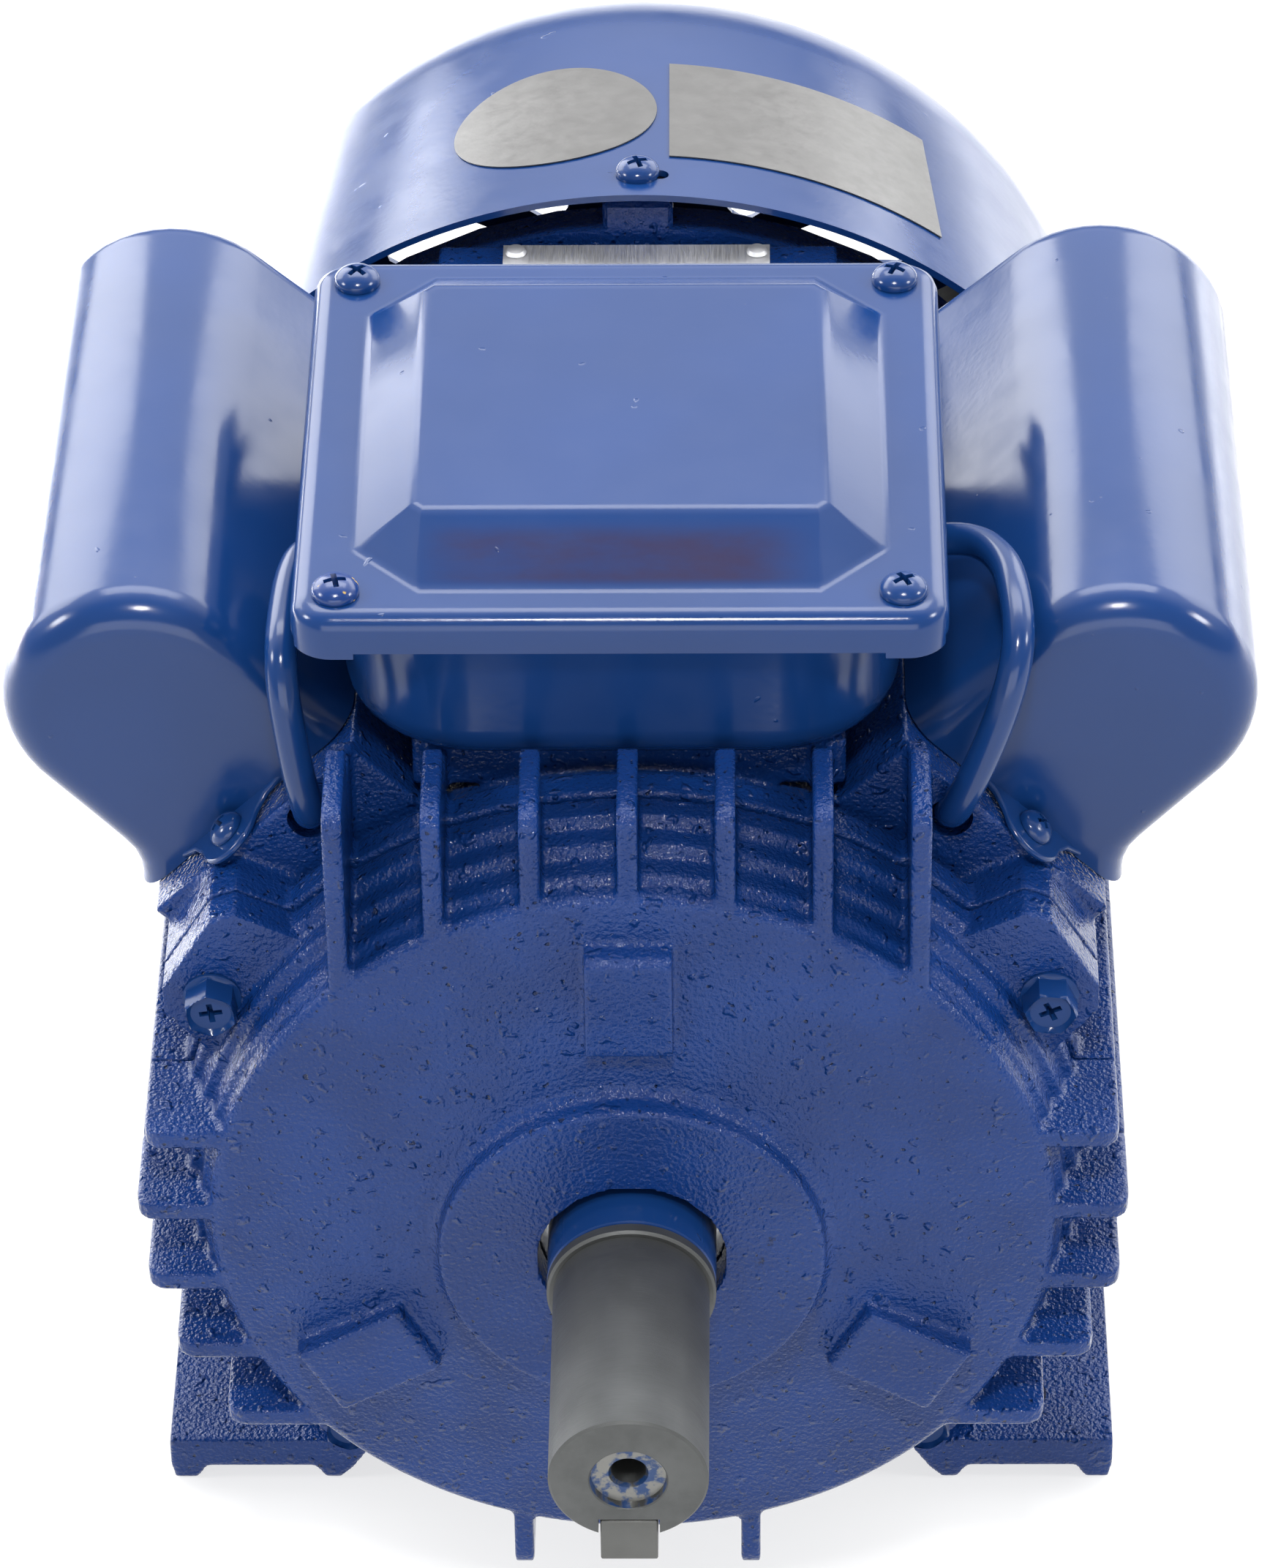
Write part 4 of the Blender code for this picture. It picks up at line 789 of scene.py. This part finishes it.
def tub_mesh():
    """Drawn tub in one skin: up the inside, over the flange and down the outside."""
    return skin([
        rounded(0.0385, 0.0400, 0.0170, TUB_BOTTOM_Z + SHEET_GAUGE),
        rounded(0.0402, 0.0420, 0.0185, 0.0775),
        rounded(0.0410, 0.0428, 0.0190, 0.0800),
        rounded(0.0410, 0.0428, 0.0190, TUB_TOP_Z),
        rounded(0.0470, 0.0452, 0.0120, TUB_TOP_Z),
        rounded(0.0470, 0.0452, 0.0120, TUB_TOP_Z - SHEET_GAUGE),
        rounded(0.0432, 0.0446, 0.0195, TUB_TOP_Z - SHEET_GAUGE),
        rounded(0.0424, 0.0441, 0.0198, TUB_TOP_Z - 0.0022),
        rounded(0.0422, 0.0440, 0.0200, 0.0810),
        rounded(0.0419, 0.0437, 0.0198, 0.0788),
        rounded(0.0411, 0.0428, 0.0192, 0.0768),
        rounded(0.0400, 0.0417, 0.0184, 0.0754),
        rounded(0.0390, 0.0406, 0.0176, TUB_BOTTOM_Z),
    ])


def terminal_box():
    cuts = [pin(0.0023, 0.0900, 0.1100, upright(x, y), 20) for x, y in LID_SCREW_SPOTS]
    for sx in (-1, 1):
        for sy in (-1, 1):
            x, y = BOX_X + sx * 0.0492, BOX_Y + sy * 0.0400
            cuts.append(block(x - 0.0030, x + 0.0030, y - 0.0036, y + 0.0036, 0.0950, LID_SKIRT_Z + 0.0016))
    cuts.append(block(
        BOX_X - 0.0395, BOX_X + 0.0395, BOX_Y - 0.0500, BOX_Y - 0.0450, 0.0950, LID_SKIRT_Z + 0.0010,
    ))
    show("box_lid", lid_mesh(), LID_PAINT, "frame", "terminal_box_lid", angle=38.0, cuts=cuts)

    cuts = [pin(0.0023, 0.0900, 0.1050, upright(x, y), 20) for x, y in LID_SCREW_SPOTS]
    cuts += [
        pin(0.0034, -0.0080, 0.0080, frame_at((x, 0.0600, 0.0897), (0, 1, 0), (1, 0, 0)), 24)
        for x in (-0.0423, 0.0412)
    ]
    cuts += [pin(0.0022, 0.0700, 0.0800, upright(x, BOX_Y - 0.0050), 16) for x in (-0.0205, 0.0205)]
    cuts.append(pin(0.0050, 0.0700, 0.0780, upright(0, 0.0375), 24))
    show("box_tub", tub_mesh(), SHEET, "frame", "terminal_box_base", angle=38.0, cuts=cuts)


terminal_box()


# ---------------------------------------------------------------- capacitor covers
def cover_profile(inset, flare, side):
    """Half-loop across the cover from one foot over the round top to the other."""
    radius = COVER_RADIUS - inset
    lean = 0.0015
    rise = COVER_AXIS - COVER_BASE
    points = []
    for sign in (-1, 1):
        leg = []
        for i in range(9):
            t = i / 8
            height = rise * t ** 1.5
            spread = lean * (1 - t) + radius
            if sign == side:
                spread += flare * max(0.0, 1 - height / 0.0075) ** 2.2
            leg.append((sign * spread, COVER_BASE + height))
        if sign == -1:
            points += leg
        else:
            turns = [math.pi * i / 24 for i in range(1, 24)]
            arch = [(radius * math.cos(math.pi - a), COVER_AXIS + radius * math.sin(a)) for a in turns]
            points += arch + leg[::-1]
    return points


def cover_mesh(side, inset, flare, drop):
    """Closed pouch: round edges in front and behind, and a flared foot on its outer side."""
    near = COVER_FRONT_Y + inset
    far = COVER_REAR_Y - inset
    fillet = COVER_FILLET - inset
    stations = []
    for i in range(9):
        a = math.radians(90 * i / 8)
        stations.append((near + fillet * (1 - math.sin(a)), fillet * (1 - math.cos(a))))
    stations = stations[::-1] + [(far - (y - near), shrink) for y, shrink in stations]
    loops = []
    for y, shrink in stations:
        loop = []
        for x, d in cover_profile(inset + shrink, flare, side):
            low = COVER_BASE + 0.0001
            loop.append((x, y, d - (drop if d < low else 0.0)))
        loops.append(loop)
    return skin(loops)


def ear_outline(toward):
    """Rounded screw ear, wide where it meets the cover."""
    reach = 0.0042
    points = [(0.0125, reach), (0.0080, reach * 0.55), (0.0062, 0.0)]
    turns = [math.pi * i / 16 for i in range(1, 16)]
    points += [(COVER_EAR_RADIUS * math.cos(a), -COVER_EAR_RADIUS * math.sin(a)) for a in turns]
    points += [(-0.0062, 0.0), (-0.0080, reach * 0.55), (-0.0125, reach)]
    return [(x, toward * y) for x, y in points]


def capacitor_cover(side, corner, name):
    turn = about_axis(corner)
    outer = cover_mesh(side, 0.0, 0.0034, 0.0)
    outer.transform(turn)
    hollow = cover_mesh(side, 0.0010, 0.0030, 0.0040)
    hollow.transform(turn)
    show(f"cover_{name}", outer, SHEET, "frame", f"capacitor_cover_{name}", angle=34.0, cuts=[hollow])
    ear_x = side * COVER_SCREW_X
    for end, y in COVER_SCREW_YS.items():
        toward = 1 if end == "front" else -1
        tab = prism(
            [(ear_x + x, y + v) for x, v in ear_outline(toward)], 0.0011,
            Matrix.Translation((0, 0, COVER_BASE + 0.00065)),
        )
        tab.transform(turn)
        hole = pin(0.0023, 0.0700, 0.0900, turn @ upright(ear_x, y), 20)
        piece = show(f"cover_{name}_{end}_ear", tab, SHEET, "frame", angle=40.0, cuts=[hole])
        soften(piece, 0.0004, 50.0)


capacitor_cover(-1, 135, "left")
capacitor_cover(1, 45, "right")


# ---------------------------------------------------------------- screws and bolts
def cross_cutter(reach, width, depth, top):
    """Tapered cross recess, pointing along local Y."""
    arms = []
    for turn in (0, 90):
        outline = [
            (-reach, top + 0.001), (reach, top + 0.001),
            (reach * 0.45, top - depth), (-reach * 0.45, top - depth),
        ]
        arms.append(prism(outline, width, Matrix.Rotation(math.radians(turn), 4, "Y")))
    return arms


def screw_mesh(radius, height, shank, length):
    """Pan head with a cross recess, on a plain shank."""
    profile = [(0.0, height)]
    for i in range(1, 9):
        a = SCREW_DOME * i / 8
        rise = (math.cos(a) - math.cos(SCREW_DOME)) / (1 - math.cos(SCREW_DOME))
        profile.append((radius * math.sin(a) / math.sin(SCREW_DOME), height * (0.28 + 0.72 * rise)))
    profile += [(radius, 0.0), (shank, 0.0), (shank, -length), (0.0, -length)]
    maker = bpy.data.objects.new("maker", turned(profile, 40))
    bpy.context.scene.collection.objects.link(maker)
    for arm in cross_cutter(radius * 0.62, radius * 0.24, height * 0.75, height):
        subtract(maker, arm)
    mesh = maker.data
    bpy.data.objects.remove(maker)
    return mesh


def bolt_mesh(length):
    """Flanged hexagon head with a dished top and a cross recess."""
    loops = []
    for radius, y, flats in (
        (0.0014, 0.0040, 0), (0.0031, 0.0041, 0), (0.0036, 0.0047, 0), (0.0039, 0.0049, 0.6),
        (0.0041, 0.0047, 1), (0.0042, 0.0043, 1), (0.0042, 0.0007, 1), (0.0043, 0.0005, 0.5),
        (0.0045, 0.0004, 0), (0.0045, 0.0, 0), (0.0025, 0.0, 0), (0.0025, -length, 0),
    ):
        loop = []
        for i in range(48):
            a = 2 * math.pi * i / 48
            wrapped = (a + math.pi / 6) % (math.pi / 3) - math.pi / 6
            hexagon = math.cos(math.pi / 6) / math.cos(wrapped)
            r = radius * (1 + flats * (hexagon - 1))
            loop.append((r * math.cos(a), y, r * math.sin(a)))
        loops.append(loop)
    maker = bpy.data.objects.new("maker", skin(loops))
    bpy.context.scene.collection.objects.link(maker)
    for arm in cross_cutter(0.0022, 0.0009, 0.0022, 0.0041):
        subtract(maker, arm)
    mesh = maker.data
    bpy.data.objects.remove(maker)
    return mesh


def put_fastener(name, source, matrix, look, node, spin=0.0):
    mesh = source.copy()
    mesh.transform(matrix @ Matrix.Rotation(math.radians(spin), 4, "Y"))
    show(name, mesh, look, "frame", node, angle=32.0)


def all_fasteners():
    large = screw_mesh(0.0036, 0.0025, 0.0020, 0.0110)
    for number, ((x, y), spin) in enumerate(zip(LID_SCREW_SPOTS, (12, 47, 30, 63)), 1):
        put_fastener(
            f"lid_pan_screw_{number}", large, upright(x, y, LID_TOP_Z + 0.0001),
            FLECKED if number == 1 else SHEET, f"lid_screw_{number}", spin,
        )
    for number, a in enumerate(COWL_LUG_ANGLES, 1):
        seat = about_axis(a) @ upright(0, COWL_SCREW_Y, cowl_radius(COWL_SCREW_Y) + 0.0003)
        put_fastener(f"cowl_pan_screw_{number}", large, seat, SHEET, f"cowl_screw_{number}", 20 * number)
    small = screw_mesh(0.0030, 0.0022, 0.0019, 0.0100)
    for side, corner, name in ((-1, 135, "left"), (1, 45, "right")):
        for end, y in COVER_SCREW_YS.items():
            seat = about_axis(corner) @ upright(side * COVER_SCREW_X, y, COVER_BASE + 0.0013)
            put_fastener(
                f"cover_pan_screw_{name}_{end}", small, seat, SHEET, f"cover_screw_{name}_{end}", 35,
            )
    front = bolt_mesh(0.0230)
    for number, ((x, z), spin) in enumerate(zip(UPPER_BOLTS + LOWER_BOLTS, (8, 25, 0, 15)), 1):
        seat = frame_at((x, 0.0149, z), (-1, 0, 0), (0, -1, 0))
        put_fastener(f"front_hex_bolt_{number}", front, seat, BOLT_PAINT, f"front_bolt_{number}", spin)
    rear = bolt_mesh(0.0220)
    for number, (x, z) in enumerate(REAR_BOLTS, 1):
        seat = frame_at((x, 0.1721, z), (1, 0, 0), (0, 1, 0))
        put_fastener(f"rear_hex_bolt_{number}", rear, seat, SHEET, f"rear_bolt_{number}", 10 * number)
    rivet = turned([
        (0.0, 0.0009), (0.0008, 0.00085), (0.0014, 0.0006), (0.0018, 0.0), (0.0010, 0.0),
        (0.0010, -0.0036), (0.0, -0.0036),
    ], 24)
    for number, x in enumerate(NAMEPLATE_RIVET_XS, 1):
        seat = upright(x, NAMEPLATE_RIVET_Y, PAD_TOP_Z + 0.0012)
        put_fastener(f"plate_rivet_{number}", rivet, seat, BRUSHED_PLATE, f"nameplate_rivet_{number}")


all_fasteners()


# ---------------------------------------------------------------- shaft and key
def shaft_and_key():
    """Stepped shaft with its centre hole and open key seat, and the square key."""
    tip = SHAFT_TIP_Y
    half = KEY_HALF_WIDTH + GAP
    seat = block(-half, half, tip - 0.0100, -0.0177, -0.0200, -0.0080)
    shaft = show("turned_shaft", turned([
        (0.0, 0.2130), (0.0070, 0.2130), (0.0080, 0.2120), (0.0080, 0.1760), (0.0100, 0.1755),
        (0.0100, 0.1500), (0.0120, 0.1495), (0.0120, 0.1330), (0.0150, 0.1330), (0.0150, 0.0185),
        (0.0125, 0.0180), (0.0125, 0.0022), (COLLAR_RADIUS, 0.0020), (COLLAR_RADIUS, COLLAR_Y + 0.0026),
        (COLLAR_RADIUS - 0.0002, COLLAR_Y + 0.0024),
        (COLLAR_RADIUS - 0.0002, COLLAR_Y + 0.0021), (COLLAR_RADIUS, COLLAR_Y + 0.0019),
        (COLLAR_RADIUS, COLLAR_Y + 0.0004), (COLLAR_RADIUS - 0.0004, COLLAR_Y), (SHAFT_RADIUS, COLLAR_Y),
        (SHAFT_RADIUS, tip + 0.0004), (SHAFT_RADIUS - 0.0004, tip), (0.0060, tip), (0.0058, tip + 0.0002),
        (0.0056, tip + 0.0014), (0.0036, tip + 0.0017), (0.0030, tip + 0.0017), (0.0026, tip + 0.0024),
        (0.0026, tip + 0.0130), (0.0, tip + 0.0145),
    ], 128), TURNED, "rotor", "shaft", angle=30.0, cuts=[seat])
    shaft.data.materials.append(SHEET)
    shaft.data.materials.append(STAINED)
    for face in shaft.data.polygons:
        from_axis = math.hypot(face.center.x, face.center.z)
        if COLLAR_Y + 0.0016 < face.center.y < 0.0022:
            face.material_index = 1
        elif tip + 0.0001 < face.center.y < tip + 0.0023 and from_axis < 0.0060:
            face.material_index = 2
    stock = block(-KEY_HALF_WIDTH, KEY_HALF_WIDTH, tip, -0.0180, -0.0163, -0.0083)
    key = show("ground_key", stock, KEY_STEEL, "rotor", "shaft_key")
    soften(key, 0.0003)


shaft_and_key()


# ---------------------------------------------------------------- leads
def smooth_route(points, passes=3):
    """Cut the corners of a rough route until it runs smoothly."""
    route = [Vector(p) for p in points]
    for _ in range(passes):
        finer = [route[0]]
        for a, b in zip(route, route[1:]):
            finer += [a.lerp(b, 0.25), a.lerp(b, 0.75)]
        finer.append(route[-1])
        route = finer
    return route


LEAD_ROUTES = {
    "right": [
        (0.0360, 0.0600, 0.0890), (0.0460, 0.0600, 0.0900), (0.0530, 0.0580, 0.0915),
        (0.0570, 0.0500, 0.0935), (0.0583, 0.0410, 0.0940), (0.0588, 0.0330, 0.0925),
        (0.0580, 0.0290, 0.0880), (0.0560, 0.0272, 0.0810), (0.0530, 0.0262, 0.0725),
        (0.0502, 0.0262, 0.0655), (0.0488, 0.0285, 0.0612), (0.0487, 0.0330, 0.0600),
        (0.0487, 0.0480, 0.0600), (0.0500, 0.0525, 0.0615), (0.0530, 0.0540, 0.0645),
        (0.0570, 0.0540, 0.0685),
    ],
    "left": [
        (-0.0360, 0.0600, 0.0890), (-0.0450, 0.0600, 0.0895), (-0.0500, 0.0570, 0.0900),
        (-0.0516, 0.0500, 0.0905), (-0.0521, 0.0410, 0.0905), (-0.0522, 0.0330, 0.0900),
        (-0.0520, 0.0290, 0.0855), (-0.0510, 0.0272, 0.0785), (-0.0500, 0.0262, 0.0715),
        (-0.0490, 0.0264, 0.0655), (-0.0487, 0.0285, 0.0612), (-0.0487, 0.0330, 0.0600),
        (-0.0487, 0.0480, 0.0600), (-0.0500, 0.0525, 0.0615), (-0.0530, 0.0540, 0.0645),
        (-0.0570, 0.0540, 0.0685),
    ],
}


def lead_mesh(points, radius, around=20):
    """Round tube that keeps its section square to the route."""
    side = Vector((0, 0, 1))
    turns = [2 * math.pi * k / around for k in range(around)]
    loops = []
    for i, point in enumerate(points):
        ahead = points[min(i + 1, len(points) - 1)] - points[max(i - 1, 0)]
        ahead.normalize()
        side = (side - ahead * side.dot(ahead)).normalized()
        other = ahead.cross(side)
        loops.append([point + radius * (math.cos(a) * side + math.sin(a) * other) for a in turns])
    return skin(loops)


for lead_name, lead_points in LEAD_ROUTES.items():
    show(
        f"painted_lead_{lead_name}", lead_mesh(smooth_route(lead_points), LEAD_RADIUS), SHEET, "frame",
        f"capacitor_lead_{lead_name}", angle=60.0,
    )


# ---------------------------------------------------------------- nameplate and blank labels
def nameplate():
    outline = [(-0.0222, 0.1195), (0.0218, 0.1195), (0.0218, 0.1612), (-0.0222, 0.1612)]
    holes = joined([
        pin(0.0012, 0.0700, 0.0780, upright(x, NAMEPLATE_RIVET_Y), 20) for x in NAMEPLATE_RIVET_XS
    ])
    plate = prism(outline, 0.0005, Matrix.Translation((0, 0, PAD_TOP_Z + 0.0008)))
    show("brushed_nameplate", plate, BRUSHED_PLATE, "frame", "nameplate", angle=40.0, cuts=[holes])


def label_patch(name, angles, span, node):
    """Film that follows the cowl's cone."""
    loops = []
    for degrees in angles:
        a = math.radians(degrees)
        front, rear = span(degrees)
        under = [front + (rear - front) * k / 12 for k in range(13)]
        rows = [(cowl_radius(y) + 0.0001, y) for y in under]
        rows += [(cowl_radius(y) + 0.0003, y) for y in under[::-1]]
        loops.append([(r * math.cos(a), y, r * math.sin(a)) for r, y in rows])
    show(name, skin(loops), LABEL_FILM, "frame", node, angle=30.0)


ROUND_ANGLE = 100.0
ROUND_Y = 0.1905
ROUND_RADIUS = 0.0174


def round_span(degrees):
    """Front and rear edge of the round label where it crosses one angle."""
    arc = math.radians(degrees - ROUND_ANGLE) * cowl_radius(ROUND_Y)
    half = math.sqrt(max(ROUND_RADIUS ** 2 - arc ** 2, 0.0004 ** 2))
    return ROUND_Y - half, ROUND_Y + half


nameplate()
reach = math.degrees(ROUND_RADIUS / cowl_radius(ROUND_Y))
label_patch(
    "blank_round_label", [ROUND_ANGLE + reach * math.cos(math.pi * i / 48) for i in range(49)], round_span,
    "cowl_label_round",
)
label_patch(
    "blank_square_label", [53.5 + 33.0 * i / 32 for i in range(33)], lambda _: (0.1735, 0.2080),
    "cowl_label_square",
)


# ---------------------------------------------------------------- floor and light
def tent():
    """Soft white surround: bright behind and beside the motor, dim above and in front of it."""
    world = bpy.data.worlds.new("studio")
    bpy.context.scene.world = world
    world.use_nodes = True
    tree = world.node_tree
    place = tree.nodes.new("ShaderNodeTexCoord")
    split = tree.nodes.new("ShaderNodeSeparateXYZ")
    tree.links.new(place.outputs["Generated"], split.inputs["Vector"])
    ramps = []
    for axis, low, high in (("Y", -0.28, 0.45), ("Z", 0.05, 0.45)):
        ramp = tree.nodes.new("ShaderNodeMapRange")
        ramp.interpolation_type = "SMOOTHSTEP"
        ramp.inputs["From Min"].default_value = low
        ramp.inputs["From Max"].default_value = high
        tree.links.new(split.outputs[axis], ramp.inputs["Value"])
        ramps.append(ramp.outputs["Result"])
    both = tree.nodes.new("ShaderNodeMath")
    both.operation = "MULTIPLY"
    tree.links.new(ramps[0], both.inputs[0])
    tree.links.new(ramps[1], both.inputs[1])
    strength = tree.nodes.new("ShaderNodeMath")
    strength.operation = "MULTIPLY_ADD"
    tree.links.new(both.outputs["Value"], strength.inputs[0])
    strength.inputs[1].default_value = 1.75
    strength.inputs[2].default_value = 0.45
    tree.links.new(strength.outputs["Value"], tree.nodes["Background"].inputs["Strength"])
    tree.nodes["Background"].inputs["Color"].default_value = (1.0, 1.0, 1.0, 1.0)


def stage():
    """Pale floor, the surround and the studio lights."""
    bm = bmesh.new()
    bmesh.ops.create_grid(bm, x_segments=1, y_segments=1, size=FLOOR_HALF_SIZE)
    floor = bpy.data.objects.new("floor", mesh_of(bm, "floor"))
    white = Nodes("floor_white", (0.30, 0.30, 0.30), 0.0, 0.8)
    white.shader.inputs["Emission Color"].default_value = (1.0, 1.0, 1.0, 1.0)
    white.shader.inputs["Emission Strength"].default_value = 0.70
    floor.data.materials.append(white.material)
    bpy.context.scene.collection.objects.link(floor)

    tent()
    for name, place, aim, size, radiance, spread in (
        ("softbox_top", (0.0, 0.95, 1.88), (0, 0, 0.1), (1.8, 0.80), 5.8, 180),
        ("softbox_back_left", (-1.35, 1.55, 0.90), (0, 0, 0.1), (1.7, 1.3), 5.0, 180),
        ("softbox_back_right", (1.35, 1.55, 0.90), (0, 0, 0.1), (1.7, 1.3), 3.2, 180),
        ("glint_left", (-1.5, -0.25, 1.05), (0, 0, 0.1), (0.35, 0.35), 26.0, 180),
        ("glint_right", (1.5, -0.25, 1.05), (0, 0, 0.1), (0.35, 0.35), 26.0, 180),
        ("glint_above", (0.0, -0.95, 1.75), (0, 0, 0.1), (0.22, 0.22), 115.0, 180),
        ("softbox_front", (0.0, -2.2, 0.60), (0, 0, 0.1), (2.2, 1.0), 2.5, 180),
        ("floor_wash_left", (-0.80, 0.60, 0.90), (-0.80, 0.61, 0), (0.7, 0.7), 80.0, 62),
        ("floor_wash_right", (0.80, 0.60, 0.90), (0.80, 0.61, 0), (0.7, 0.7), 13.0, 62),
    ):
        data = bpy.data.lights.new(name, "AREA")
        data.shape = "RECTANGLE"
        data.size, data.size_y = size
        data.energy = radiance * math.pi * size[0] * size[1]
        data.spread = math.radians(spread)
        light = bpy.data.objects.new(name, data)
        light.location = place
        light.rotation_euler = (Vector(aim) - Vector(place)).to_track_quat("-Z", "Y").to_euler()
        bpy.context.scene.collection.objects.link(light)
    bpy.context.scene.view_settings.view_transform = "Standard"


stage()
